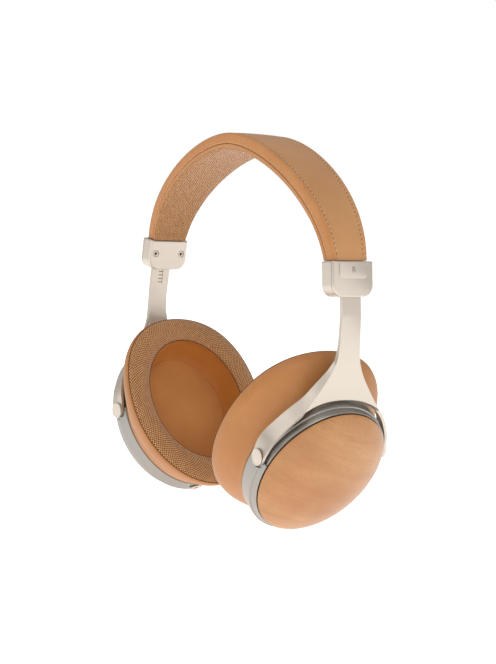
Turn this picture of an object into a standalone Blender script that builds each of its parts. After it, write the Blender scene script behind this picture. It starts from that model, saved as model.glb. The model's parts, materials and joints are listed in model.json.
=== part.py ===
"""Over-ear headphones with wood cups, built as an assembly of separate pieces.

Frame: +Z is up, +X is the wearer's right and +Y the way the wearer faces. The origin lies on
the surface that the wearer's head touches under the crown of the headband.

Every length below is in millimetres. The right-hand pieces are modelled in three local frames
(slider block, yoke and cup, each with X pointing outboard), and the left-hand ones are their
mirror images in the plane X = 0.
"""
import math

import bmesh
import bpy
from mathutils import Matrix, Vector

MM = 0.001
GAP = 0.3                       # air between two pieces that touch
CLEAR = 0.35                    # air around a pin or a screw

# Headband, measured on its outer surface
BAND_TOP = 206.6                # crown, above the plane that the cups' places are measured from
BAND_START_ANGLE = 11.0         # lean of the band where it leaves the block, degrees
BAND_START_PULL = 34.0          # length of the curve's handle at the block
BAND_CROWN_PULL = 28.5          # length of the curve's handle at the crown
BAND_HALF_SEGMENTS = 12
BAND_WIDTH_END = 20.6
BAND_WIDTH_CROWN = 32.8
LEATHER = 1.0                   # thickness of the headband's leather
COVER_DEPTH = 5.4               # how far the leather's side walls reach down
CORE_DEPTHS = (1.3, 3.1)        # top and bottom of the core, below the outer surface
SPRING_DEPTHS = (3.4, 4.2)
FOAM_DEPTHS = (4.5, 7.1)
LINING_DEPTHS = (5.7, 8.3)
LINING = 0.9                    # thickness of the lining in the middle
SPRING_WIDTH = 15.0
CORE_SKIP = 3                   # the core stops this many sections short of the block, beside the arm

# Slider block, in its own frame: Z runs up along the arm and X points outboard
SLIDE_FOOT = (83.6, 0.0, 132.1)  # where the arm leaves the block
SLIDE_LEAN = 7.0
BLOCK_HALF_WIDTH = 12.0
BLOCK_HEIGHT = 16.7
BLOCK_CORNER = 5.6
BLOCK_WALL = 1.2
BLOCK_LID = (1.3, 2.6)          # outer shell, from its inner to its outer face
BLOCK_SHELL = (-6.5, 1.0)       # inner shell
LABEL_PLATE = 0.45              # height of the raised plate on the outer shell
BLOCK_SCREW = (8.2, 9.1)        # across and up
BOSS_RADIUS = 1.9
DETENT_HALF_WIDTH = 1.8
BAND_SEAT = 0.9                 # outer surface of the band where it meets the block

# Yoke, in its own frame: the origin is on the tilt axis, Y runs along it and Z is up
PIVOT = (67.7, 1.0, 55.6)
TOE = 4.0                       # the cups face slightly forwards
ARM_THICK = 2.0
TONGUE_THICK = 0.7
TONGUE_SET = -0.9               # middle of the tongue, behind the middle of the arm
TONGUE_FOOT = 9.2               # where the arm thins to its tongue, above the foot of the block
TONGUE_TOP = 11.0               # top of the arm, above the foot of the block
ARM_HALF_WIDTH = 5.6
SLIDE_STRAIGHT = 8.6             # length of straight arm below the block, which the block can take in
LEG_THICK = 1.4
LUG_RADIUS = 4.7
PIN_FACE = 35.6                 # outer face of the leg, from the middle of the yoke
PIN_CAP = (4.15, 0.7)            # radius and height
PIN_RADIUS = 1.8
BUSH = (2.15, 3.0)              # inner and outer radius

# Cup, in its own frame: X along the cup's axis and Z up across it, tilted on the pivot pins
TILT = 31.0                     # the lower edge hangs inboard
HOUSING = (35.2, 39.5, -8.6)    # half width, half height and height of the middle of the oval
WOOD = (33.1, 37.2, -7.5)
HOUSING_BACK = -6.6             # face that carries the ear pad
HOUSING_STEP = 2.2
HOUSING_WALL = 2.2
POCKET = (5.3, 33.8, 33.0)      # radius round the pin, and its floor there and above it
WOOD_SEAT = 5.9
WOOD_DOME = 10.0
WOOD_WALL = 3.0
PAD_BACK = (-8.5, 35.2, 39.5, -8.6)
PAD_LIP = -6.9                  # the leather's edge, which wraps the ring and meets the housing
PAD_FRONT = (-26.8, 43.6, 48.7, -6.1)
PAD_OPENING = (29.7, 33.7, -5.0)
DRIVER_CENTRE = -8.0
DRIVER_RADIUS = 20.0
SCREEN_AT = -11.4               # front of the cloth over the driver

OVAL_SEGMENTS = 32
ROUND_SEGMENTS = 16


# ---------------------------------------------------------------- small tools

def rotation(degrees, axis):
    """A turn about one axis."""
    return Matrix.Rotation(math.radians(degrees), 4, axis)


BLOCK_FRAME = Matrix.Translation(SLIDE_FOOT) @ rotation(-SLIDE_LEAN, 'Y')
YOKE_FRAME = Matrix.Translation(PIVOT) @ rotation(-TOE, 'Z')
CUP_FRAME = YOKE_FRAME @ rotation(TILT, 'Y')
MIRROR = Matrix.Scale(-1, 4, (1, 0, 0))


def make_material(name, colour, roughness, metallic=0.0):
    """One plain material for a kind of piece."""
    material = bpy.data.materials.new(name)
    material.use_nodes = True
    shader = material.node_tree.nodes["Principled BSDF"]
    shader.inputs["Base Color"].default_value = (*colour, 1)
    shader.inputs["Roughness"].default_value = roughness
    shader.inputs["Metallic"].default_value = metallic
    return material


def add_piece(name, points, faces, material, frame=None):
    """One object from points in millimetres, in a local frame, with its faces turned outwards."""
    place = to_origin() @ (frame if frame else Matrix.Identity(4))
    mesh = bpy.data.meshes.new(name)
    mesh.from_pydata([(place @ Vector(p)) * MM for p in points], [], faces)
    shape = bmesh.new()
    shape.from_mesh(mesh)
    bmesh.ops.remove_doubles(shape, verts=shape.verts, dist=1e-6)
    bmesh.ops.recalc_face_normals(shape, faces=shape.faces)
    shape.to_mesh(mesh)
    shape.free()
    mesh.shade_smooth()
    mesh.set_sharp_from_angle(angle=math.radians(35))
    piece = bpy.data.objects.new(name, mesh)
    piece.data.materials.append(material)
    bpy.context.collection.objects.link(piece)
    return piece


def loft(name, rings, material, frame=None, closed=False):
    """Rings of equal length joined in order; the ends are capped unless the last meets the first."""
    count = len(rings[0])
    points = [point for ring in rings for point in ring]
    faces = []
    steps = len(rings) if closed else len(rings) - 1
    for i in range(steps):
        low = i * count
        high = (i + 1) % len(rings) * count
        for j in range(count):
            k = (j + 1) % count
            faces.append((low + j, low + k, high + k, high + j))
    if not closed:
        faces.append(tuple(range(count)))
        faces.append(tuple(range((len(rings) - 1) * count, len(rings) * count)))
    return add_piece(name, points, faces, material, frame)


def oval(x, half_width, half_height, middle, segments=OVAL_SEGMENTS):
    """An oval ring of points across the cup's axis."""
    angles = [2 * math.pi * i / segments for i in range(segments)]
    return [(x, half_width * math.cos(a), middle + half_height * math.sin(a)) for a in angles]


def shrunk(x, outline, inset):
    """The oval of an outline, smaller all round by an inset."""
    half_width, half_height, middle = outline
    return (x, half_width - inset, half_height - inset, middle)


def oval_body(name, profile, material, closed=False):
    """A body of ovals in the cup's frame, from (x, half width, half height, middle) rows."""
    return loft(name, [oval(*row) for row in profile], material, CUP_FRAME, closed)


def turned(name, profile, material, frame, closed=False, segments=ROUND_SEGMENTS):
    """A turned body about the frame's X axis, from (x, radius) rows."""
    rings = [oval(x, radius, radius, 0, segments) for x, radius in profile]
    return loft(name, rings, material, frame, closed)


def boxed(name, low, high, material, frame=None):
    """A rectangular block between two corners."""
    ring = [(low[1], low[2]), (high[1], low[2]), (high[1], high[2]), (low[1], high[2])]
    return loft(name, [[(x, y, z) for y, z in ring] for x in (low[0], high[0])], material, frame)


def combine(piece, others, operation):
    """Cut other pieces from a piece, or add them to it, and drop them."""
    for other in others:
        step = piece.modifiers.new(operation.lower(), 'BOOLEAN')
        step.operation = operation
        step.object = other
    evaluated = piece.evaluated_get(bpy.context.evaluated_depsgraph_get())
    result = bpy.data.meshes.new_from_object(evaluated)
    piece.modifiers.clear()
    piece.data = result
    for other in others:
        bpy.data.objects.remove(other)
    return piece


def mirror_all(pieces):
    """A left-hand copy of each right-hand piece."""
    for piece in pieces:
        mesh = piece.data.copy()
        mesh.transform(MIRROR)
        mesh.flip_normals()
        name = piece.name.replace("right", "left", 1)
        copy = bpy.data.objects.new(name, mesh)
        bpy.context.collection.objects.link(copy)


def smooth_path(points, samples):
    """Points along a Catmull-Rom curve through a few given ones, in any number of dimensions."""
    ends = [tuple(2 * a - b for a, b in zip(points[0], points[1])),
            tuple(2 * a - b for a, b in zip(points[-1], points[-2]))]
    known = [ends[0], *points, ends[1]]
    path = []
    for i in range(samples):
        place = i / (samples - 1) * (len(points) - 1)
        k = min(int(place), len(points) - 2)
        t = place - k
        p0, p1, p2, p3 = known[k:k + 4]
        path.append(tuple(
            0.5 * (2 * b + (c - a) * t + (2 * a - 5 * b + 4 * c - d) * t * t
                   + (3 * b - a - 3 * c + d) * t ** 3)
            for a, b, c, d in zip(p0, p1, p2, p3)))
    return path


# ---------------------------------------------------------------- materials

def make_materials():
    """The kinds of material that the headphones are made of."""
    rows = {
        "tan_leather": ((0.52, 0.26, 0.11), 0.5, 0.0),
        "woven_cloth": ((0.42, 0.24, 0.11), 0.9, 0.0),
        "champagne_metal": ((0.72, 0.66, 0.57), 0.35, 0.9),
        "housing_metal": ((0.52, 0.49, 0.45), 0.32, 0.9),
        "wood": ((0.56, 0.29, 0.12), 0.35, 0.0),
        "spring_steel": ((0.45, 0.46, 0.48), 0.3, 1.0),
        "foam": ((0.12, 0.12, 0.13), 0.95, 0.0),
        "black_plastic": ((0.03, 0.03, 0.03), 0.5, 0.0),
        "screen_cloth": ((0.48, 0.22, 0.07), 0.9, 0.0),
        "film": ((0.55, 0.5, 0.42), 0.3, 0.0),
        "brass": ((0.72, 0.55, 0.25), 0.3, 1.0),
    }
    return {name: make_material(name, *values) for name, values in rows.items()}


# ---------------------------------------------------------------- headband

def band_start():
    """Where the band's outer surface meets the block, as (x, z)."""
    point = BLOCK_FRAME @ Vector((BAND_SEAT, 0, BLOCK_HEIGHT + GAP))
    return point.x, point.z


def band_stations():
    """(x, z, normal x, normal z, progress to the crown) from the right block to the left one."""
    lean = math.radians(BAND_START_ANGLE)
    x0, z0 = band_start()
    knots = [Vector((x0, z0)),
             Vector((x0 - BAND_START_PULL * math.sin(lean), z0 + BAND_START_PULL * math.cos(lean))),
             Vector((BAND_CROWN_PULL, BAND_TOP)), Vector((0, BAND_TOP))]
    right = []
    for i in range(BAND_HALF_SEGMENTS + 1):
        t = i / (BAND_HALF_SEGMENTS + 0.5)      # no station at the crown: a flat facet spans it
        s = 1 - t
        weights = (s ** 3, 3 * s * s * t, 3 * s * t * t, t ** 3)
        point = sum((w * k for w, k in zip(weights, knots)), Vector((0, 0)))
        along = (s * s * (knots[1] - knots[0]) + 2 * s * t * (knots[2] - knots[1])
                 + t * t * (knots[3] - knots[2])).normalized()
        if i == 0:
            slide = math.radians(SLIDE_LEAN)
            along = Vector((-math.sin(slide), math.cos(slide)))
        right.append((point.x, point.y, along.y, -along.x, t))
    left = [(-x, z, -nx, nz, t) for x, z, nx, nz, t in reversed(right)]
    return right + left


def to_origin():
    """The shift that puts the underside of the crown at Z = 0."""
    _, z, _, lift, _ = band_stations()[BAND_HALF_SEGMENTS]
    return Matrix.Translation((0, 0, lift * LINING_DEPTHS[1] - z))


def band_half_width(progress):
    """Half the band's width, which grows from the block to the crown."""
    return 0.5 * (BAND_WIDTH_END + (BAND_WIDTH_CROWN - BAND_WIDTH_END) * math.sin(progress * math.pi / 2))


def swept_band(name, section, material, skip=0):
    """A body along the headband; section(half width) gives its (depth, y) outline."""
    stations = band_stations()
    stations = stations[skip:len(stations) - skip]
    rings = []
    for x, z, nx, nz, progress in stations:
        outline = section(band_half_width(progress))
        rings.append([(x - nx * depth, y, z - nz * depth) for depth, y in outline])
    return loft(name, rings, material)


def cover_section(half):
    """The leather: a top with rounded edges and two side walls."""
    inner = half - LEATHER
    return [(COVER_DEPTH, -half), (1.2, -half), (0.35, -half + 0.35), (0, -half + 1.2), (0, half - 1.2),
            (0.35, half - 0.35), (1.2, half), (COVER_DEPTH, half), (COVER_DEPTH, inner),
            (LEATHER, inner), (LEATHER, -inner), (COVER_DEPTH, -inner)]


def slab_section(depths, width_of):
    """A flat slab between two depths."""
    top, bottom = depths

    def section(half):
        edge = width_of(half)
        return [(top, -edge), (top, edge), (bottom, edge), (bottom, -edge)]
    return section


def lining_section(half):
    """The woven underside, with rolled edges and a flat middle."""
    top, bottom = LINING_DEPTHS
    edge = half - 0.2
    inner = bottom - LINING
    return [(top, -edge), (top, -edge + 2.5), (inner, -edge + 3.5), (inner, edge - 3.5),
            (top, edge - 2.5), (top, edge), (bottom - 0.9, edge), (bottom, edge - 1.8),
            (bottom, -edge + 1.8), (bottom - 0.9, -edge)]


def make_spring_band(material):
    """The sprung steel strip: each end is notched round the block's bosses and forked round the detent."""
    top, bottom = SPRING_DEPTHS
    half = SPRING_WIDTH / 2
    stations = band_stations()
    foot = BLOCK_FRAME @ Vector((BAND_SEAT, 0, 2.2))
    _, _, nx, nz, _ = stations[0]
    ends = [(foot.x, foot.z, nx, nz, 0), (-foot.x, foot.z, -nx, nz, 0)]
    rings = []
    for x, z, nx, nz, _ in [ends[0], *stations, ends[1]]:
        rings.append([(x - nx * d, y, z - nz * d) for d, y in
                      ((top, -half), (top, half), (bottom, half), (bottom, -half))])
    strip = loft("spring_band", rings, material)
    across, up = BLOCK_SCREW
    cuts = []
    for frame in (BLOCK_FRAME, MIRROR @ BLOCK_FRAME):
        cuts += [turned("notch", [(-5, BOSS_RADIUS + CLEAR), (1, BOSS_RADIUS + CLEAR)], material,
                        at(frame, (0, side * across, up)), segments=12) for side in (-1, 1)]
        cuts.append(boxed("fork", (-5, -DETENT_HALF_WIDTH - CLEAR, 0),
                          (1, DETENT_HALF_WIDTH + CLEAR, 13.5), material, frame))
    return combine(strip, cuts, 'DIFFERENCE')


def make_headband(materials):
    """Cover, core, spring, foam and lining."""
    swept_band("headband_cover", cover_section, materials["tan_leather"])
    swept_band("headband_core", slab_section(CORE_DEPTHS, lambda half: half - LEATHER - 0.6),
               materials["foam"], skip=CORE_SKIP)
    make_spring_band(materials["spring_steel"])
    swept_band("headband_foam", slab_section(FOAM_DEPTHS, lambda half: half - 4.2), materials["foam"])
    swept_band("headband_lining", lining_section, materials["woven_cloth"])


# ---------------------------------------------------------------- slider block

def block_outline(half_width, foot, head, corner, steps=5):
    """The block seen from outboard, with its two lower corners rounded, as (y, z)."""
    points = [(half_width, head), (-half_width, head)]
    for side in (-1, 1):
        arc = []
        for i in range(steps + 1):
            angle = math.pi / 2 * i / steps
            arc.append((side * (half_width - corner + corner * math.cos(angle)),
                        foot + corner - corner * math.sin(angle)))
        points += arc if side < 0 else arc[::-1]
    return points


def slab(name, outline, low, high, material, frame=BLOCK_FRAME, edge=0.0):
    """An outline in the (y, z) plane extruded along X, its outer rim eased by an edge width."""
    middle_y = sum(y for y, _ in outline) / len(outline)
    middle_z = sum(z for _, z in outline) / len(outline)
    levels = [(low, 0.0), (high, 0.0)]
    if edge:
        towards = math.copysign(edge, high - low)
        levels = [(low, 0.0), (high - towards, 0.0), (high, edge)]
    rings = []
    for x, inset in levels:
        ring = []
        for y, z in outline:
            away = Vector((y - middle_y, z - middle_z))
            shift = away.normalized() * inset
            ring.append((x, y - shift.x, z - shift.y))
        rings.append(ring)
    return loft(name, rings, material, frame)


def at(frame, point):
    """A frame moved to one of its own points."""
    return frame @ Matrix.Translation(point)


def make_block(materials):
    """Outer and inner shell, two screws and the detent spring of the right block."""
    metal = materials["champagne_metal"]
    steel = materials["spring_steel"]
    outline = block_outline(BLOCK_HALF_WIDTH, 0, BLOCK_HEIGHT, BLOCK_CORNER)
    across, up = BLOCK_SCREW

    lid = slab("right_block_outer", outline, BLOCK_LID[0], BLOCK_LID[1], metal, edge=0.5)
    plate = block_outline(8.4, 8.6, BLOCK_HEIGHT - 0.4, 2.6, steps=4)
    label = slab("label_plate", plate, BLOCK_LID[1] - 0.5, BLOCK_LID[1] + LABEL_PLATE, metal)
    bosses = [turned("boss", [(-3.6, BOSS_RADIUS), (BLOCK_LID[0] + 0.4, BOSS_RADIUS)], metal,
                     at(BLOCK_FRAME, (0, side * across, up)), segments=12) for side in (-1, 1)]
    combine(lid, [label, *bosses], 'UNION')
    bores = [turned("bore", [(-4.0, 1.1), (0.6, 1.1)], metal,
                    at(BLOCK_FRAME, (0, side * across, up)), segments=10) for side in (-1, 1)]
    combine(lid, bores, 'DIFFERENCE')

    low, high = BLOCK_SHELL
    shell = slab("right_block_inner", outline, high, low, metal, edge=0.6)
    hollow = slab("hollow", block_outline(BLOCK_HALF_WIDTH - BLOCK_WALL, BLOCK_WALL, BLOCK_HEIGHT + 2,
                                          BLOCK_CORNER - BLOCK_WALL), low + BLOCK_WALL, high + 1, metal)
    slot = boxed("slot", (-ARM_THICK / 2 - CLEAR, -ARM_HALF_WIDTH - CLEAR, -2),
                 (high + 1, ARM_HALF_WIDTH + CLEAR, 3), metal, BLOCK_FRAME)
    holes = [turned("hole", [(low - 1, 0.75 + CLEAR), (low + 2, 0.75 + CLEAR)], metal,
                    at(BLOCK_FRAME, (0, side * across, up)), segments=10) for side in (-1, 1)]
    combine(shell, [hollow, slot, *holes], 'DIFFERENCE')

    screws = []
    for number, side in enumerate((-1, 1), start=1):
        profile = [(low - 0.75, 0.5), (low - 0.75, 1.5), (low - GAP, 1.6), (low - GAP, 0.75), (0.2, 0.75)]
        screws.append(turned(f"right_block_screw_{number}", profile, steel,
                             at(BLOCK_FRAME, (0, side * across, up)), segments=12))

    leaf = [(-1.9, 3.0), (-1.9, 6.0), (-1.45, 8.0), (-1.9, 10.0), (-1.9, 13.0)]
    half = DETENT_HALF_WIDTH
    rings = [[(x, -half, z), (x, half, z), (x - 0.35, half, z), (x - 0.35, -half, z)] for x, z in leaf]
    detent = loft("right_detent_spring", rings, steel, at(BLOCK_FRAME, (-0.15, 0, 0)))
    return [lid, shell, *screws, detent]


# ---------------------------------------------------------------- yoke

# Rows down the arm: outer face x, height, lean in degrees and half width, in the yoke's frame
ARM_BEND = [(18.4, 61.0, 3.0, 5.6), (18.6, 54.0, 0.0, 5.7)]
# Down the crease between the web and the side flange: height, half width, outer face x, and how
# far the flange's inner edge lies inboard, outside and above the crease
WEB_ROWS = [(47.0, 6.3, 18.2, 2.2, 0.0, 0.3), (40.0, 9.3, 17.4, 2.7, 0.5, 1.6),
            (33.3, 13.6, 16.7, 4.0, 0.8, 2.4), (27.8, 17.4, 16.3, 5.2, -0.3, 3.8),
            (23.0, 21.0, 16.0, 6.0, -1.1, 5.4)]
ARCH_RISE = 5.2                 # the arch's middle, above its two shoulders
# Down the leg: the outer edge, then the inner edge, each as (x, y, z)
LEG_ROWS = [((16.0, 21.0, 23.0), (10.0, 19.9, 28.4)),
            ((14.2, 25.5, 18.6), (7.6, 25.6, 23.3)),
            ((11.5, 29.5, 13.4), (4.0, 30.4, 17.3)),
            ((8.3, 33.1, 7.5), (-0.6, 34.3, 10.5)),
            ((4.7, 35.5, 0.0), (-4.7, 35.7, 1.4))]
ACROSS = (-1, -0.66, -0.33, 0, 0.33, 0.66, 1)


def arm_ring(centre_x, z, lean, half_width, thick, offset=0.0):
    """A section of the flat arm: its outer face, then round the front edge and back behind."""
    turn = math.radians(lean)
    outward = Vector((math.cos(turn), 0, math.sin(turn)))
    middle = Vector((centre_x, 0, z)) + outward * offset
    outer = [middle + outward * thick / 2 + Vector((0, y * half_width, 0)) for y in ACROSS]
    behind = [0.94, 0.88, 0.82, 0.76]
    inner = [middle - outward * thick / 2 + Vector((0, y * half_width, 0))
             for y in [*behind, *reversed(ACROSS[1:-1]), *[-y for y in reversed(behind)]]]
    front_edge = outer[-1].lerp(inner[0], 0.5)
    rear_edge = outer[0].lerp(inner[-1], 0.5)
    return [*outer, front_edge, *inner, rear_edge]


def web_ring(height, half_width, x, inboard, outside, above, rise):
    """A section of the flared web, with a flange along its front and its rear edge."""
    outer = [Vector((x, y * half_width, height + rise * (1 - abs(y) ** 2.4))) for y in ACROSS]
    inner = [Vector((p.x - ARM_THICK, y * (half_width - 1.7), p.z)) for y, p in zip(ACROSS, outer)]
    flanges = []
    for side in (1, -1):
        corner, inside = (outer[-1], inner[-1]) if side > 0 else (outer[0], inner[0])
        edge = Vector((x - inboard, side * (half_width + outside), height + above))
        under = edge - Vector((0, side * LEG_THICK, 0.3))
        flanges.append([corner.lerp(edge, 0.5), edge, under, inside.lerp(under, 0.5), inside])
    return [*outer, *flanges[0], *reversed(inner[1:-1]), *reversed(flanges[1])]


def arm_and_web_rings():
    """Sections from the top of the arm down to the arch."""
    to_yoke = YOKE_FRAME.inverted() @ BLOCK_FRAME
    rings = []
    for z in (TONGUE_TOP, TONGUE_FOOT + 0.6, TONGUE_FOOT, -SLIDE_STRAIGHT):
        thick, offset = (TONGUE_THICK, TONGUE_SET) if z > TONGUE_FOOT else (ARM_THICK, 0)
        ring = arm_ring(0, z, 0, ARM_HALF_WIDTH, thick, offset)
        rings.append([to_yoke @ point for point in ring])
    for x, z, lean, half_width in ARM_BEND:
        rings.append(arm_ring(x - ARM_THICK / 2, z, lean, half_width, ARM_THICK))
    for row in smooth_path(WEB_ROWS, 7):
        share = (WEB_ROWS[0][0] - row[0]) / (WEB_ROWS[0][0] - WEB_ROWS[-1][0])
        rings.append(web_ring(*row, rise=ARCH_RISE * share ** 1.5))
    return rings


def leg_rings():
    """Sections down the front leg, from the web's shoulder to the rounded lug on the pin."""
    sections = [(Vector(row[:3]), Vector(row[3:]))
                for row in smooth_path([outer + inner for outer, inner in LEG_ROWS], 8)]
    outer, inner = sections[-1]
    middle = (outer + inner) / 2
    across = (inner - outer).normalized()
    down = Vector((-across.z, 0, across.x)).normalized()
    for angle in (30, 55, 75):
        half = across * LUG_RADIUS * math.cos(math.radians(angle))
        end = middle + down * LUG_RADIUS * math.sin(math.radians(angle))
        sections.append((end - half, end + half))
    rings = []
    for i, (outer, inner) in enumerate(sections):
        before = sections[max(i - 1, 0)]
        after = sections[min(i + 1, len(sections) - 1)]
        along = (after[0] + after[1] - before[0] - before[1]).normalized()
        normal = along.cross(inner - outer).normalized() * LEG_THICK
        if normal.y > 0:
            normal = -normal
        face = [outer, outer.lerp(inner, 0.5), inner]
        rings.append(face + [point + normal for point in reversed(face)])
    return rings[1:]


def yoke_body(material):
    """The arm, the web and the two legs as one closed mesh."""
    rings = arm_and_web_rings()
    count = len(rings[0])
    last = (len(rings) - 1) * count
    points = [point for ring in rings for point in ring]
    faces = [tuple(range(count))]
    for low in range(0, last, count):
        for j in range(count):
            k = (j + 1) % count
            faces.append((low + j, low + k, low + count + k, low + count + j))
    columns = len(ACROSS)
    front = [last + columns - 1 + j for j in range(6)]
    rear = [last] + [last + count - 1 - j for j in range(5)]
    inner = [front[5]] + [front[5] + 1 + j for j in range(columns - 2)] + [rear[5]]
    outer = [last + columns - 1 - j for j in range(columns)]
    for j in range(columns - 1):
        faces.append((outer[j], outer[j + 1], inner[j + 1], inner[j]))
    for side, start in ((1, front), (-1, rear)):
        before = start
        for ring in leg_rings():
            here = [len(points) + j for j in range(6)]
            points += [(p.x, p.y * side, p.z) for p in ring]
            for j in range(6):
                k = (j + 1) % 6
                faces.append((before[j], before[k], here[k], here[j]))
            before = here
        faces.append(tuple(before))
    return add_piece("right_yoke", points, faces, material, YOKE_FRAME)


def make_yoke(materials):
    """Arm, web and legs in one piece, with a hole for each pivot pin."""
    metal = materials["champagne_metal"]
    yoke = yoke_body(metal)
    holes = [turned("hole", [(PIN_FACE - 5, PIN_RADIUS + CLEAR), (PIN_FACE + 5, PIN_RADIUS + CLEAR)], metal,
                    pin_frame(side), segments=16) for side in (1, -1)]
    return combine(yoke, holes, 'DIFFERENCE')


def pin_frame(side):
    """The frame of a pivot pin, with X along the pin and away from the cup."""
    return YOKE_FRAME @ rotation(90 * side, 'Z')


def make_pins(materials):
    """A capped pivot pin and its bush at the front and the rear."""
    cap_radius, cap_height = PIN_CAP
    face = PIN_FACE + GAP
    pins = []
    for name, side in (("front", 1), ("rear", -1)):
        profile = [(29.6, PIN_RADIUS), (face, PIN_RADIUS), (face, cap_radius),
                   (face + cap_height - 0.2, cap_radius), (face + cap_height, cap_radius - 0.3)]
        pins.append(turned(f"right_pivot_pin_{name}", profile, materials["champagne_metal"], pin_frame(side)))
        inner, outer = BUSH
        profile = [(29.4, inner), (29.4, outer), (32.7, outer), (32.7, inner)]
        pins.append(turned(f"right_pivot_bush_{name}", profile, materials["black_plastic"], pin_frame(side),
                           closed=True))
    return pins


# ---------------------------------------------------------------- cup

BAFFLE_SCREW_ANGLES = (-30, 90, 210)
BAFFLE_SCREW_INSET = 4.9        # from the housing's outline to a screw


def screw_place(angle):
    """Where a baffle screw stands, as (y, z) in the cup's frame."""
    turn = math.radians(angle)
    half_width, half_height, middle = HOUSING
    return ((half_width - BAFFLE_SCREW_INSET) * math.cos(turn),
            middle + (half_height - BAFFLE_SCREW_INSET) * math.sin(turn))


def make_housing(materials):
    """The metal ring that carries everything in the cup."""
    metal = materials["housing_metal"]
    wood_width, wood_height, wood_middle = WOOD
    rim = (wood_width + 0.75, wood_height + 0.75, wood_middle)
    profile = [shrunk(HOUSING_BACK, HOUSING, 0.5), shrunk(HOUSING_BACK + 0.5, HOUSING, 0),
               shrunk(HOUSING_STEP - 0.4, HOUSING, 0), shrunk(HOUSING_STEP, HOUSING, 0.4),
               (WOOD_SEAT - 0.3, *rim), shrunk(WOOD_SEAT, rim, 0.45), shrunk(WOOD_SEAT - 0.3, rim, 1.6),
               shrunk(HOUSING_STEP + 0.6, HOUSING, 3.0), shrunk(0.8, HOUSING, HOUSING_WALL),
               shrunk(HOUSING_BACK, HOUSING, HOUSING_WALL)]
    housing = oval_body("right_housing", profile, metal, closed=True)
    lugs = []
    for side in (1, -1):
        lugs.append(turned("lug", [(29.2, 4.15), (32.5, 4.15)], metal, pin_frame(side)))
    for angle in BAFFLE_SCREW_ANGLES:
        y, z = screw_place(angle)
        lugs.append(turned("boss", [(-4.1, 2.9), (1.5, 2.9)], metal, at(CUP_FRAME, (0, y, z)), segments=12))
    combine(housing, lugs, 'UNION')
    holes = []
    radius, floor, upper_floor = POCKET
    for side in (1, -1):
        holes.append(turned("hole", [(28, BUSH[1] + CLEAR), (40, BUSH[1] + CLEAR)], metal, pin_frame(side)))
        holes.append(turned("pocket", [(floor, radius), (40, radius)], metal, pin_frame(side)))
        across = sorted((side * upper_floor, side * 40))
        holes.append(boxed("pocket", (-9, across[0], -0.8), (9, across[1], 12), metal, CUP_FRAME))
    for angle in BAFFLE_SCREW_ANGLES:
        y, z = screw_place(angle)
        holes.append(turned("hole", [(-6, 0.9 + CLEAR), (0.4, 0.9 + CLEAR)], metal,
                            at(CUP_FRAME, (0, y, z)), segments=10))
    holes.append(turned("jack_hole", [(42, 2.4), (50, 2.4)], metal, jack_frame()))
    return combine(housing, holes, 'DIFFERENCE')


def jack_frame():
    """The jack's frame: X points down out of the housing."""
    return CUP_FRAME @ Matrix.Translation((-2.2, 0, 0)) @ rotation(90, 'Y')


def dome_height(share):
    """Height of the wood's outer surface at a share of the way from its rim to its middle."""
    return WOOD_DOME * math.sin(share * math.pi / 2) ** 1.3


def make_wood(materials):
    """The domed wood shell that closes the cup."""
    steps = 5
    rows = []
    for i in range(steps, -1, -1):
        share = i / steps * 0.9
        inset = WOOD_WALL + (WOOD[0] - WOOD_WALL - 4) * (1 - math.cos(share * math.pi / 2))
        rows.append(shrunk(WOOD_SEAT + 0.4 + max(0, dome_height(share) - WOOD_WALL), WOOD, inset))
    for i in range(steps + 1):
        share = i / steps * 0.9
        inset = (WOOD[0] - 3) * (1 - math.cos(share * math.pi / 2)) if i else 0
        rows.append(shrunk(WOOD_SEAT + 0.4 + dome_height(share), WOOD, inset))
    return oval_body("right_wood_cup", rows, materials["wood"])


def make_driver(materials):
    """Frame, magnet, diaphragm and grille of the loudspeaker."""
    centre = at(CUP_FRAME, (0, 0, DRIVER_CENTRE))
    radius = DRIVER_RADIUS
    frame_profile = [(-4.2, radius + 3), (-4.2, radius - 0.6), (-2.6, radius - 1.2), (2.4, 12.2), (2.4, 7.0),
                     (3.8, 7.0), (3.8, 13.4), (-1.4, radius + 0.4), (-2.6, radius + 3)]
    frame = turned("right_driver_frame", frame_profile, materials["black_plastic"], centre, closed=True,
                   segments=20)
    magnet = turned("right_driver_magnet", [(4.1, 5.0), (4.1, 12.0), (4.6, 12.5), (8.6, 12.5), (9.0, 12.0)],
                    materials["spring_steel"], centre, segments=18)
    cone = [(-5.7, 1.0), (-5.5, 2.5), (-4.9, 5.5), (-3.7, 9.0), (-4.9, radius - 4), (-5.6, radius - 2.2),
            (-5.2, radius - 0.7), (-4.8, radius - 0.7), (-5.0, radius - 2.4), (-4.4, radius - 4),
            (-3.1, 9.4), (-3.3, 8.4), (-4.4, 5.0), (-5.1, 2.5), (-5.3, 1.0)]
    diaphragm = turned("right_diaphragm", cone, materials["film"], centre, segments=16)
    grille = turned("right_driver_grille", [(-8.0, 21.4), (-7.2, 21.4)], materials["black_plastic"], centre,
                    segments=20)
    slots = []
    for ring_radius, count in ((6.0, 5), (14.0, 8)):
        for i in range(count):
            turn = 2 * math.pi * i / count
            place = (0, ring_radius * math.cos(turn), ring_radius * math.sin(turn))
            slots.append(turned("vent", [(-9, 2.0), (-6, 2.0)], materials["film"], at(centre, place), segments=6))
    combine(grille, slots, 'DIFFERENCE')
    return [frame, magnet, diaphragm, grille]


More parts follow.
